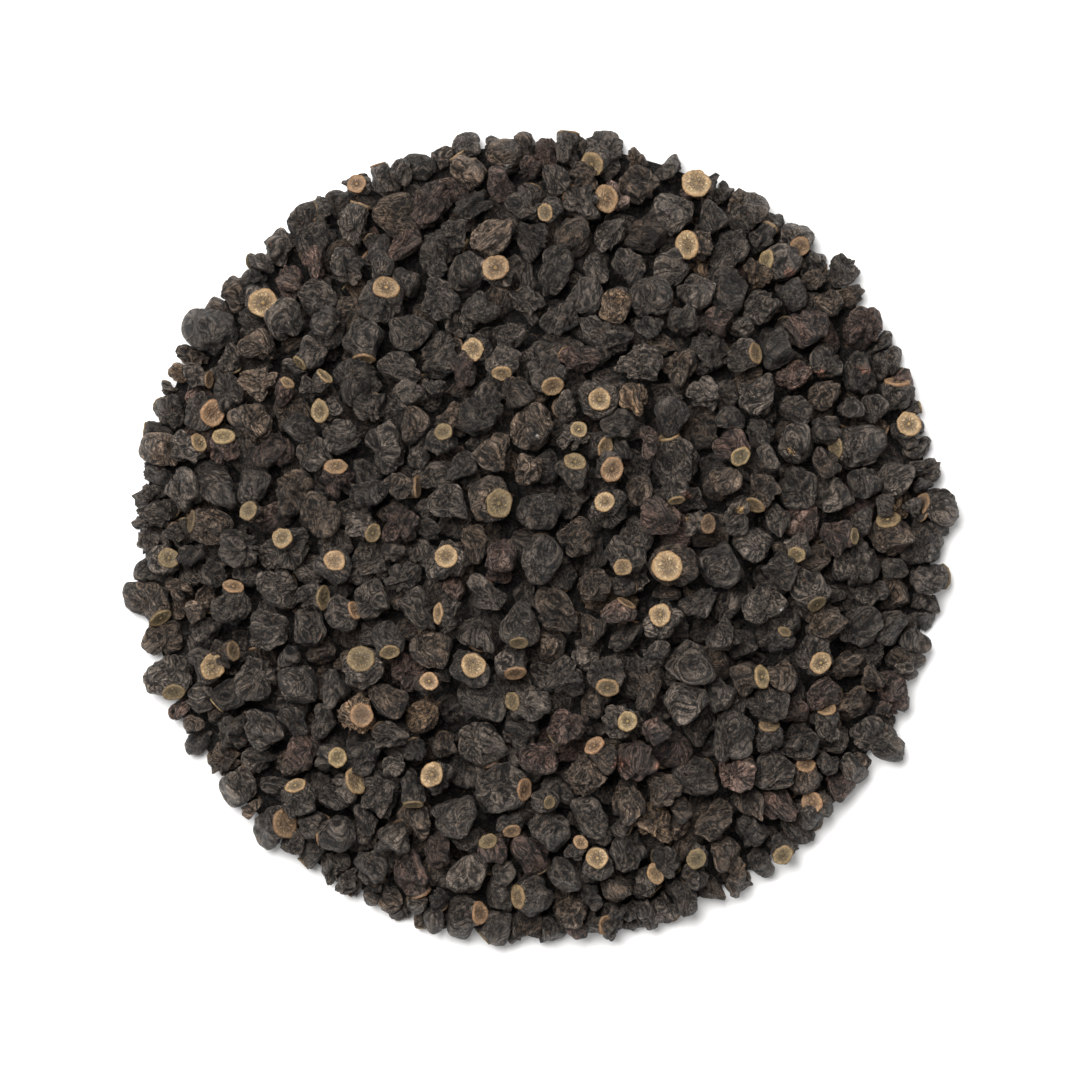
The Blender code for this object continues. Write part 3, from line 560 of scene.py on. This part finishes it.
def pressTogether():
    # where two berries meet, both are flattened on the plane of equal power between their balls. Its
    # distance from the middle, as a share of the radius, is (d^2 + r^2 - other^2) / (2 d r). The normals
    # are in each berry's own axes, from before it is narrowed and stretched
    centre, radius = berries["centre"], 0.5 * berries["width"]
    gap = centre[None] - centre[:, None]
    distance = np.sqrt((gap**2).sum(2)) + 1e-6
    near = np.argsort(distance - radius, 1)[:, 1:skin["neighbours"] + 1]
    row = np.arange(len(radius))[:, None]
    apart, own, other = distance[row, near], radius[:, None], radius[near]
    share = np.clip((apart**2 + own**2 - other**2) / (2.0 * apart * own), skin["leastShare"], 9.0)
    seen = np.arange(len(radius)) <= len(heap["crowned"]) + len(heap["plain"])
    share *= np.where(seen, skin["seenPast"], skin["fillerPast"])[:, None]
    normal = np.einsum("nkw,naw->nka", gap[row, near] / apart[..., None], berries["axes"])
    stretch = np.stack([np.ones(len(radius)), berries["girth"], berries["length"]], 1)
    berries["press"] = np.concatenate([berries["press"], normal * stretch[:, None]], 1)
    berries["pressDepth"] = np.concatenate([berries["pressDepth"], share], 1)
    toRim = np.clip((np.hypot(centre[:, 0], centre[:, 1]) - skin["rimFrom"]) / skin["rimBlend"], 0.0, 1.0)
    filler = skin["fillerSwell"] + (skin["rimSwell"] - skin["fillerSwell"]) * toRim
    berries["swell"] = np.where(seen, skin["seenSwell"], filler)


def coloured(mine, place):
    # patches: the berry's own colour where slow noise is high, and half way to charcoal where it is low.
    # Then flecks and spots: the colour moves to the spot's own inside a ragged disc round its pixel, on
    # what shows from above
    slow = latticeNoise(place / tints["patchSize"], 8)
    patch = np.clip(0.5 + tints["patchSharpness"] * slow, 0.0, 1.0)[..., None]
    ground = mine["ground"][:, None] * (1.0 - patch)
    colour = ground + mine["tint"][:, None] * tints["patchLight"] * patch
    ragged = tints["ragged"] * latticeNoise(place / tints["raggedSize"], 9)
    high = place[..., 2] > dome(place[..., 0], place[..., 1]) - tints["spotDepth"]
    for name, places in (("gold", "goldFlecks"), ("red", "redSpots"), ("pale", "paleSpecks")):
        x, y, reach = np.array(tints[places], float).T
        x, y = toHeap(x, y)
        for spotX, spotY, size in zip(x, y, reach * studio["mmPerPixel"]):
            gap = np.hypot(place[..., 0] - spotX, (place[..., 1] - spotY) * 1.4) / size + ragged
            share = np.clip((1.0 - gap) * 3.0, 0.0, 1.0) * high
            colour = colour + share[..., None] * (np.array(tints[name]) - colour)
    return colour


def withAlpha(colour):
    return np.concatenate([colour, np.ones(colour.shape[:-1] + (1,))], -1)


def newPiece(name, place, face, layers, material):
    # a mesh from whole arrays: points in mm, faces as rows of corners, and layers of colours, vectors or
    # numbers
    mesh = bpy.data.meshes.new(name)
    size = face.shape[1]
    mesh.vertices.add(len(place))
    mesh.vertices.foreach_set("co", (place * mm).astype(np.float32).ravel())
    mesh.loops.add(face.size)
    mesh.loops.foreach_set("vertex_index", face.astype(np.int32).ravel())
    mesh.polygons.add(len(face))
    mesh.polygons.foreach_set("loop_start", np.arange(0, face.size, size, dtype=np.int32))
    mesh.polygons.foreach_set("use_smooth", np.ones(len(face), bool))
    mesh.update(calc_edges=True)
    kinds = {1: ("FLOAT", "value"), 3: ("FLOAT_VECTOR", "vector"), 4: ("FLOAT_COLOR", "color")}
    for label, value in layers.items():
        kind, field = kinds[value[0].size]
        layer = mesh.attributes.new(label, kind, "POINT")
        layer.data.foreach_set(field, value.astype(np.float32).ravel())
    mesh.materials.append(material)
    piece = bpy.data.objects.new(name, mesh)
    bpy.context.scene.collection.objects.link(piece)
    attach(piece, "root")
    print("   ", name, (size - 2) * len(face), "triangles")
    return piece


def addNode(tree, kind, inputs, **values):
    # a node with its properties set, and each input linked to a socket or set to a value
    node = tree.nodes.new(kind)
    for key, value in values.items():
        setattr(node, key, value)
    for key, value in inputs.items():
        if isinstance(value, bpy.types.NodeSocket):
            tree.links.new(value, node.inputs[key])
        else:
            node.inputs[key].default_value = value
    return node


def newMaterial(name):
    material = bpy.data.materials.new(name)
    material.use_nodes = True
    return material, material.node_tree, material.node_tree.nodes["Principled BSDF"]


def nodeMakers(tree):
    # short ways to add the nodes that both materials use. Each gives back the socket to link on
    def attribute(name, output="Fac"):
        return addNode(tree, "ShaderNodeAttribute", {}, attribute_name=name).outputs[output]

    def noise(vector, scale, detail, roughness=0.5, distortion=0.0):
        inputs = {"Vector": vector, "Scale": scale, "Detail": detail}
        inputs.update({"Roughness": roughness, "Distortion": distortion})
        return addNode(tree, "ShaderNodeTexNoise", inputs).outputs["Fac"]

    def remap(value, low, high, toLow, toHigh):
        inputs = {"Value": value, 1: low, 2: high, 3: toLow, 4: toHigh}
        return addNode(tree, "ShaderNodeMapRange", inputs).outputs[0]

    def mix(share, one, other):
        return addNode(tree, "ShaderNodeMix", {0: share, 6: one, 7: other}, data_type="RGBA").outputs[2]

    def calc(operation, one, other=0.0):
        return addNode(tree, "ShaderNodeMath", {0: one, 1: other}, operation=operation).outputs[0]

    def times(one, other):
        return calc("MULTIPLY", one, other)

    return attribute, noise, remap, mix, calc, times


# The skin's finish and its painted light and shade. Bloom and sheen, grain and torn specks are noise per
# metre. Cracks, threads and ridges are per millimetre of the stretched space that the folds lie in
finishAndPaintedLight = {
    "grainScale": 2700.0, "grainFrom": 0.38, "grainTo": 0.62, "grainDark": 0.05, "grainPale": 2.4,
    # crack shade: painted shade in the cracks
    "crackScale": 1.0, "crackWidth": 0.05, "crackShade": 0.85,
    "threadScale": 2.3, "threadWidth": 0.045,
    # valley and ridge levels: painted shade in the ridges' valleys and a painted highlight on their tops.
    # Hollow shade and crest level: painted shade in hollows and a painted highlight on fold crests
    "ridgeScale": 0.5, "ridgeTurns": 46.0, "valleyShadeLevel": 0.18, "ridgeHighlight": 1.25,
    "hollowShade": 0.7, "crestLight": 1.2,
    # bloom: a dusty grey in patches, partly a painted sheen, as it lies only on ridge tops
    "bloomAndSheenScale": 240.0, "bloomAndSheenShare": 0.4, "bloomAndSheen": (0.085, 0.076, 0.070, 1.0),
    "tornScale": 1500.0, "tornShare": 0.75, "torn": (0.19, 0.11, 0.07, 1.0),
    "smoothest": 0.34, "roughest": 0.7, "specular": 0.45,
    "grainHeight": 1.2, "crackDepth": 0.8, "threadHeight": 0.35, "ridgeHeight": 0.38, "bumpDistance": 0.001,
}


def driedSkin():
    # matte, nearly black skin: a painted highlight on fold crests and pale threads, painted shade in hollows
    # and cracks, a fine leathery grain, ridges that wind side by side from crown to tail with painted shade in
    # their valleys and a painted highlight on their tops, a dusty bloom in patches that is partly a painted
    # sheen on the ridges, and torn specks
    material, tree, shader = newMaterial("dried_skin_wrinkled")
    attribute, noise, remap, mix, calc, times = nodeMakers(tree)
    place = addNode(tree, "ShaderNodeTexCoord", {}).outputs["Object"]
    tint, along = attribute("tint", "Color"), attribute("along", "Vector")
    crest, hollow = attribute("crest"), attribute("hollow")
    grain = noise(place, finishAndPaintedLight["grainScale"], 3.0, 0.8)
    cracks = noise(along, finishAndPaintedLight["crackScale"], 5.0, 0.66, 0.8)
    threads = noise(along, finishAndPaintedLight["threadScale"], 4.0, 0.66, 1.0)
    # cracks and threads: 1 where their noise crosses its middle, 0 a little way off
    crack = remap(calc("ABSOLUTE", calc("SUBTRACT", cracks, 0.5)), 0.0, finishAndPaintedLight["crackWidth"], 1.0, 0.0)
    thread = remap(calc("ABSOLUTE", calc("SUBTRACT", threads, 0.5)), 0.0, finishAndPaintedLight["threadWidth"], 1.0, 0.0)
    # ridges: the height lines of slow noise, sin(turns * noise)
    slow = noise(along, finishAndPaintedLight["ridgeScale"], 2.5, 0.55, 0.4)
    ridge = remap(calc("SINE", times(slow, finishAndPaintedLight["ridgeTurns"])), -1.0, 0.3, 0.0, 1.0)
    bloomAndSheen = noise(place, finishAndPaintedLight["bloomAndSheenScale"], 3.0)
    # brightness = (speckle * (1 - painted hollow shade) * (1 - painted crack shade) + painted crest highlight
    # + painted thread highlight * speckle) * (painted valley shade + painted ridge highlight)
    speckle = remap(grain, finishAndPaintedLight["grainFrom"], finishAndPaintedLight["grainTo"], finishAndPaintedLight["grainDark"], finishAndPaintedLight["grainPale"])
    base = times(speckle, calc("SUBTRACT", 1.0, times(hollow, finishAndPaintedLight["hollowShade"])))
    base = times(base, calc("SUBTRACT", 1.0, times(crack, finishAndPaintedLight["crackShade"])))
    light = calc("ADD", base, times(crest, finishAndPaintedLight["crestLight"]))
    light = calc("ADD", light, times(thread, speckle))
    # painted shade in the ridges' valleys and a painted highlight on their tops
    ridgeShading = calc("ADD", finishAndPaintedLight["valleyShadeLevel"], times(ridge, finishAndPaintedLight["ridgeHighlight"]))
    light = times(light, ridgeShading)
    lit = addNode(tree, "ShaderNodeVectorMath", {0: tint, "Scale": light}, operation="SCALE").outputs[0]
    # the bloom is partly a painted sheen: pale grey in patches, laid only on the ridge tops
    dustAndSheen = remap(bloomAndSheen, 0.5, 0.72, 0.0, finishAndPaintedLight["bloomAndSheenShare"])
    dustedAndSheened = mix(times(dustAndSheen, ridge), lit, finishAndPaintedLight["bloomAndSheen"])
    torn = remap(noise(place, finishAndPaintedLight["tornScale"], 2.0, 0.6), 0.63, 0.70, 0.0, finishAndPaintedLight["tornShare"])
    clusters = remap(bloomAndSheen, 0.47, 0.6, 1.0, 0.0)
    specked = mix(times(torn, clusters), dustedAndSheened, finishAndPaintedLight["torn"])
    tree.links.new(specked, shader.inputs["Base Color"])
    rough = remap(cracks, 0.3, 0.7, finishAndPaintedLight["smoothest"], finishAndPaintedLight["roughest"])
    tree.links.new(rough, shader.inputs["Roughness"])
    shader.inputs["Specular IOR Level"].default_value = finishAndPaintedLight["specular"]
    height = times(grain, finishAndPaintedLight["grainHeight"])
    height = calc("SUBTRACT", height, times(crack, finishAndPaintedLight["crackDepth"]))
    height = calc("ADD", height, times(thread, finishAndPaintedLight["threadHeight"]))
    height = calc("ADD", height, times(ridge, finishAndPaintedLight["ridgeHeight"]))
    bumpInputs = {"Height": height, "Strength": 1.0, "Distance": finishAndPaintedLight["bumpDistance"]}
    bump = addNode(tree, "ShaderNodeBump", bumpInputs)
    tree.links.new(bump.outputs[0], shader.inputs["Normal"])
    return material


# Where the heap is parted, and where it has crown scars
parts = {
    "around": ["right", "right_top", "top", "left_top", "left", "left_bottom", "bottom", "right_bottom"],
    "middle": ["middle_left", "middle_right"],
    "middleReach": 24.0,  # mm
    "leastPadShown": 0.3,  # square mm of a berry that must show for it to have a scar
    "rimFacing": 0.6, "downFacing": -0.65,
}


def chooseScars():
    # a scar is on the berries that the picture fixes, and where one is turned down, hidden, or faces out at
    # the rim
    x, y = berries["centre"][:, 0], berries["centre"][:, 1]
    outward = berries["facing"][:, 0] * x + berries["facing"][:, 1] * y > parts["rimFacing"] * np.hypot(x, y)
    rimward = (np.hypot(x, y) > skin["rimFrom"]) & outward & (np.arange(len(x)) % 2 == 0)
    turnedAway = (berries["facing"][:, 2] < parts["downFacing"]) | (berries["above"] < 0.3) | rimward
    berries["padded"] = berries["crowned"] | (turnedAway & (berries["shown"] > parts["leastPadShown"]))


def berryPieces(material):
    # ten pieces: eight round the heap and the two halves of its middle, each with berries of all four
    # grades
    x, y = berries["centre"][:, 0], berries["centre"][:, 1]
    part = np.round(np.degrees(np.arctan2(y, x)) / 45.0).astype(int) % 8
    part = np.where(np.hypot(x, y) < parts["middleReach"], np.where(x < 0.0, 8, 9), part)
    for number, name in enumerate(parts["around"] + parts["middle"]):
        places, faces, count, most = [], [], 0, 1e9
        layers = {"tint": [], "crest": [], "hollow": [], "along": []}
        for grade, least in skin["shownFrom"].items():
            chosen = np.nonzero((part == number) & (berries["shown"] > least) & (berries["shown"] <= most))[0]
            most = least
            if not len(chosen):
                continue
            ray, face = blownCube(skin["gridSteps"][grade], skin["lean"])
            mine = {key: value[chosen] for key, value in berries.items()}
            place, crest, hollow, along = berrySkins(mine, ray)
            face = face[None] + count + len(ray) * np.arange(len(chosen))[:, None, None]
            faces.append(face.reshape(-1, 4))
            places.append(place.reshape(-1, 3))
            layers["tint"].append(withAlpha(coloured(mine, place)).reshape(-1, 4))
            layers["crest"].append(crest.ravel())
            layers["hollow"].append(hollow.ravel())
            layers["along"].append(along.reshape(-1, 3))
            count += place.shape[0] * place.shape[1]
        layers = {label: np.concatenate(values) for label, values in layers.items()}
        place, face = np.concatenate(places), np.concatenate(faces)
        piece = newPiece("berries_" + name, place, face, layers, material)
        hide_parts("dried_berry_heap")


lookOver()
pickTints()
pressTogether()
chooseScars()
wrinkledSkin = driedSkin()
berryPieces(wrinkledSkin)
print("stage 4: berries made")


# What lies deeper than the berries that show, as one dark wrinkled mound inside the heap. Its darker tint and
# its painted hollow shade are painted shade deep between the berries
core = {
    "radius": 51.5, "depth": 8.0, "base": 0.8, "leastTop": 1.4, "leastLump": 1.1,
    "rings": 20, "sides": 60, "underRings": (0.985, 0.5),
    "lump": 1.2, "lumpSize": 3.0,
    # painted shade: a tint darker than the berries' own, and the hollows' painted shade all over
    "tint": (0.034, 0.028, 0.023, 1.0), "hollow": 0.8,
}


def coreMound(material):
    # turned profile: out along the dome's curve less the depth, down at the edge and back along the base.
    # The top wavers with noise, and the two poles are single points
    out = np.sin(np.linspace(0.0, 0.5 * math.pi, core["rings"] + 1)[1:])
    radius = core["radius"] * np.concatenate([out, core["underRings"]])
    height = np.maximum(dome(radius, 0.0) - core["depth"], core["leastTop"])
    height[-2:] = core["base"]
    sides = core["sides"]
    turn = 2.0 * math.pi * np.arange(sides) / sides
    ring = [radius[:, None] * np.cos(turn), radius[:, None] * np.sin(turn), height[:, None] + 0.0 * turn]
    ring = np.stack(ring, -1)
    lump = core["lump"] * latticeNoise(ring / core["lumpSize"], 61)
    ring[:-2, :, 2] = np.maximum(ring[:-2, :, 2] + lump[:-2], core["leastLump"])
    ends = np.array([(0.0, 0.0, heap["height"] - core["depth"]), (0.0, 0.0, core["base"])])
    place = np.concatenate([ring.reshape(-1, 3), ends])
    count = len(place)
    layers = {"tint": np.tile(np.array(core["tint"]), (count, 1)), "crest": np.zeros(count),
              "hollow": np.full(count, core["hollow"]), "along": place}
    piece = newPiece("heap_core", place, turnedFaces(len(radius), sides), layers, material)
    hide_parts("dried_berry_heap")


def turnedFaces(rings, sides):
    # triangles between rings that lie one outside another, then a fan to the point on top and to the point
    # below
    ring, side = np.meshgrid(np.arange(rings - 1), np.arange(sides), indexing="ij")
    after = (side + 1) % sides
    a, b = ring * sides + side, ring * sides + after
    c, d = b + sides, a + sides
    one = np.arange(sides)
    other, last = (one + 1) % sides, (rings - 1) * sides
    top, below = np.full(sides, rings * sides), np.full(sides, rings * sides + 1)
    corners = [(a, d, c), (a, c, b), (top, one, other), (below, last + other, last + one)]
    return np.concatenate([np.stack(three, -1).reshape(-1, 3) for three in corners])


coreMound(wrinkledSkin)
print("stage 5: core made")


# The crown scars: dry round pads. Heights and radii are shares of the pad's own radius
scar = {
    "rings": 8, "sides": 26, "smallRings": 2, "smallSides": 10,
    "rimAt": 0.88, "rimWidth": 0.1, "rimHeight": 0.055,
    "dishDepth": 0.03, "raised": 0.11, "uneven": 0.09,
    "nubWidth": 0.13, "nubHeight": 0.12, "moatAt": 0.26, "moatWidth": 0.09, "moatDepth": 0.07,
    "edgeDrop": 0.16, "backDrop": 0.30, "backMiddle": -0.34,
    "ragged": 0.11,
    "cream": (0.32, 0.23, 0.145, 1.0), "tan": (0.20, 0.132, 0.075, 1.0), "rust": (0.225, 0.13, 0.064, 1.0),
    "gold": (0.27, 0.18, 0.08, 1.0), "dash": (0.05, 0.035, 0.024, 1.0), "wall": (0.06, 0.045, 0.034, 1.0),
    "dim": (0.085, 0.065, 0.046, 1.0), "olive": (0.17, 0.126, 0.076, 1.0),
    "straw": (0.97, 1.02, 0.86, 1.0), "orange": (1.12, 0.95, 0.86, 1.0),
    "dashesRound": 5.0, "dashesInward": 4.5,  # more of them are finer
    "toneShift": 57.0, "hueTurns": 13.0,  # so that dashes and hue change from scar to scar
    "stippleScale": 3600.0, "patchScale": 700.0, "roughness": 0.72, "specular": 0.3, "bumpDistance": 0.00012,
    # pixels of the scars that are palest, and of those that are dullest
    "brightPlaces": [(696, 184), (665, 566), (659, 614), (264, 304), (447, 556), (597, 856), (474, 664),
                     (684, 246), (604, 502), (599, 401), (908, 424), (820, 663), (473, 351), (502, 375),
                     (215, 667), (432, 773)],
    "dullPlaces": [(519, 641), (512, 700), (855, 536), (250, 511), (374, 533), (327, 597), (836, 448),
                   (488, 839), (783, 631), (500, 504), (170, 558), (175, 693), (361, 656), (445, 431),
                   (412, 804)],
    "brightTone": 0.95, "dullTone": 0.32,
    "seed": 12,
}


def scarPads(mine, rings, sides):
    # on a disc of angle u and radius s: height = dish + ring-shaped rim + nub in the middle - moat round
    # it. Past s = 1 the edge rolls down and the back returns to the middle, so each pad is closed. Its
    # outline wavers with u
    s = np.concatenate([np.linspace(0.0, 1.0, rings + 1)[1:], [1.01, 0.9]])
    u = 2.0 * math.pi * np.arange(sides) / sides
    circle = np.stack([np.cos(u), np.sin(u), np.zeros(sides)], -1)
    shift = mine["offset"][:, None]
    waver = 1.6 * latticeNoise(circle[None] * 1.4 + shift, 21) + latticeNoise(circle[None] * 4.0 + shift, 23)
    waver = (1.0 + scar["ragged"] * waver)[:, None]
    nub = scar["nubHeight"] * mine["nub"]
    profile = scar["rimHeight"] * bell(s - scar["rimAt"], scar["rimWidth"]) - scar["dishDepth"] * (1.0 - s**2)
    profile = profile - scar["moatDepth"] * bell(s - scar["moatAt"], scar["moatWidth"])
    grid = circle[None, None] * s[None, :, None, None]
    top = profile[None, :, None] + nub[:, None, None] * bell(s, scar["nubWidth"])[None, :, None]
    top = top + scar["uneven"] * latticeNoise(grid * 3.0 + shift[:, None], 22)
    top[:, -2] -= scar["edgeDrop"]
    top[:, -1] -= scar["backDrop"]
    pad = np.stack([grid[..., 0] * waver, grid[..., 1] * waver, top], -1).reshape(len(nub), -1, 3)
    middle = np.zeros((len(nub), 2, 3))
    middle[:, 0, 2] = nub - scar["dishDepth"]
    middle[:, 1, 2] = scar["backMiddle"]
    pad = np.concatenate([pad, middle], 1)
    onDisc = pad[..., :2].copy()
    radius = 0.5 * mine["crown"][:, None, None]
    pad = pad * radius
    pad[..., 1] *= 0.3 + 0.7 * mine["girth"][:, None]
    pad[..., 2] += (0.5 * mine["width"] * mine["flat"])[:, None] + scar["raised"] * radius[..., 0]
    place = mine["centre"][:, None] + np.einsum("npa,naw->npw", pad, mine["axes"])
    place[..., 2] = np.maximum(place[..., 2], 0.02)
    return place, onDisc


def scarMaterial():
    # cream to tan dry tissue, a rusty rim, dark dashes that point to the middle, and a dark moat round the
    # nub
    material, tree, shader = newMaterial("crown_scar_dry")
    attribute, noise, remap, mix, calc, times = nodeMakers(tree)
    place = addNode(tree, "ShaderNodeTexCoord", {}).outputs["Object"]
    spot = addNode(tree, "ShaderNodeSeparateXYZ", {0: attribute("disc", "Vector")}).outputs
    flat = addNode(tree, "ShaderNodeCombineXYZ", {0: spot[0], 1: spot[1], 2: 0.0}).outputs[0]
    radius = addNode(tree, "ShaderNodeVectorMath", {0: flat}, operation="LENGTH").outputs["Value"]
    way = addNode(tree, "ShaderNodeVectorMath", {0: flat}, operation="NORMALIZE").outputs[0]
    way = addNode(tree, "ShaderNodeSeparateXYZ", {0: way}).outputs
    tone, bare, nub = attribute("tone"), attribute("bare"), attribute("nub")
    # dashes: noise that changes fast round the disc and more slowly along its radius, and from scar to scar
    round1, round2 = (times(way[axis], scar["dashesRound"]) for axis in (0, 1))
    inward = calc("ADD", times(radius, scar["dashesInward"]), times(tone, scar["toneShift"]))
    rays = addNode(tree, "ShaderNodeCombineXYZ", {0: round1, 1: round2, 2: inward}).outputs[0]
    dashes = noise(rays, 1.0, 2.0, 0.6)
    stipple = noise(place, scar["stippleScale"], 3.0, 0.7)
    patch = noise(place, scar["patchScale"], 2.0)
    edge = calc("ADD", radius, times(patch, 0.16))
    rim = times(remap(edge, 0.88, 1.02, 0.0, 1.0), remap(patch, 0.42, 0.58, 0.9, 0.0))
    inside = mix(remap(patch, 0.38, 0.62, 0.0, 1.0), scar["cream"], scar["tan"])
    colour = mix(rim, inside, scar["rust"])
    colour = mix(remap(tone, 0.1, 0.4, 0.8, 0.0), colour, scar["olive"])
    marks = remap(calc("ADD", dashes, times(stipple, 0.4)), 0.57, 0.70, 0.0, 0.92)
    marked = mix(times(marks, remap(radius, 0.45, 0.85, 1.0, 0.4)), colour, scar["dash"])
    # bare scars have lost their pale lining inside the rim
    lost = remap(edge, 0.72, 0.88, 1.0, 0.0)
    worn = mix(times(lost, bare), marked, scar["dim"])
    # the style's stump: a dark moat round a golden nub
    moat = remap(calc("ABSOLUTE", calc("SUBTRACT", radius, 0.23)), 0.02, 0.10, 0.9, 0.0)
    ringed = mix(times(moat, nub), worn, scar["dash"])
    tipped = mix(times(remap(radius, 0.09, 0.14, 1.0, 0.0), nub), ringed, scar["gold"])
    # the rolled-down edge and the back are darker
    wallDarkened = mix(times(spot[2], 0.75), tipped, scar["wall"])
    # each scar leans to straw yellow or to orange, by the fraction of 13 tone, and is paler by its tone
    hue = mix(calc("FRACT", times(tone, scar["hueTurns"])), scar["straw"], scar["orange"])
    dyed = addNode(tree, "ShaderNodeVectorMath", {0: wallDarkened, 1: hue}, operation="MULTIPLY").outputs[0]
    mottle = remap(stipple, 0.35, 0.65, 0.62, 1.3)
    shade = times(mottle, calc("ADD", 0.55, times(tone, 0.75)))
    final = addNode(tree, "ShaderNodeVectorMath", {0: dyed, "Scale": shade}, operation="SCALE").outputs[0]
    tree.links.new(final, shader.inputs["Base Color"])
    shader.inputs["Roughness"].default_value = scar["roughness"]
    shader.inputs["Specular IOR Level"].default_value = scar["specular"]
    height = calc("SUBTRACT", times(stipple, 0.4), times(marks, 0.6))
    bumpInputs = {"Height": height, "Strength": 0.8, "Distance": scar["bumpDistance"]}
    bump = addNode(tree, "ShaderNodeBump", bumpInputs)
    tree.links.new(bump.outputs[0], shader.inputs["Normal"])
    return material


def scarTones():
    # how pale each scar is, how much of its lining is lost, and how far its nub stands up
    draw = np.random.default_rng(scar["seed"])
    count = len(berries["width"])
    berries["nub"] = np.clip(draw.normal(0.45, 0.4, count), 0.0, 1.0)
    berries["tone"] = np.clip(draw.normal(0.63, 0.26, count), 0.02, 1.0)
    berries["bare"] = np.clip(draw.normal(-0.45, 0.6, count), 0.0, 0.85)
    crowned = np.array(heap["crowned"])
    for places, level in ((scar["brightPlaces"], scar["brightTone"]), (scar["dullPlaces"], scar["dullTone"])):
        x, y = np.array(places, float).T
        nearest = 1 + np.hypot(crowned[:, :1] - x, crowned[:, 1:2] - y).argmin(0)
        berries["tone"][nearest] = level
        berries["bare"][nearest] = 0.0


def scarPiece(name, chosen, rings, sides, material):
    mine = {key: value[chosen] for key, value in berries.items()}
    place, onDisc = scarPads(mine, rings, sides)
    points = place.shape[1]
    face = turnedFaces(rings + 2, sides)
    face = (face[None] + points * np.arange(len(chosen))[:, None, None]).reshape(-1, 3)
    # the third number of the disc layer is 1 on the edge that rolls down and on the back, which are darker
    wall = np.zeros((rings + 2, sides))
    wall[rings:] = 1.0
    wall = np.concatenate([wall.ravel(), (0.0, 1.0)])
    disc = np.concatenate([onDisc, np.broadcast_to(wall[:, None], onDisc.shape[:-1] + (1,))], -1)
    layers = {"disc": withAlpha(disc).reshape(-1, 4)}
    for label in ("tone", "bare", "nub"):
        layers[label] = np.repeat(mine[label], points)
    newPiece(name, place.reshape(-1, 3), face, layers, material)


scarTones()
dryScar = scarMaterial()
large = np.nonzero(berries["crowned"] & (np.arange(len(berries["width"])) > 0))[0]
small = np.nonzero(~berries["crowned"] & berries["padded"])[0]
scarPiece("crown_scars_top", large, scar["rings"], scar["sides"], dryScar)
scarPiece("crown_scars_round", small, scar["smallRings"], scar["smallSides"], dryScar)
print("stage 6: crown scars made")
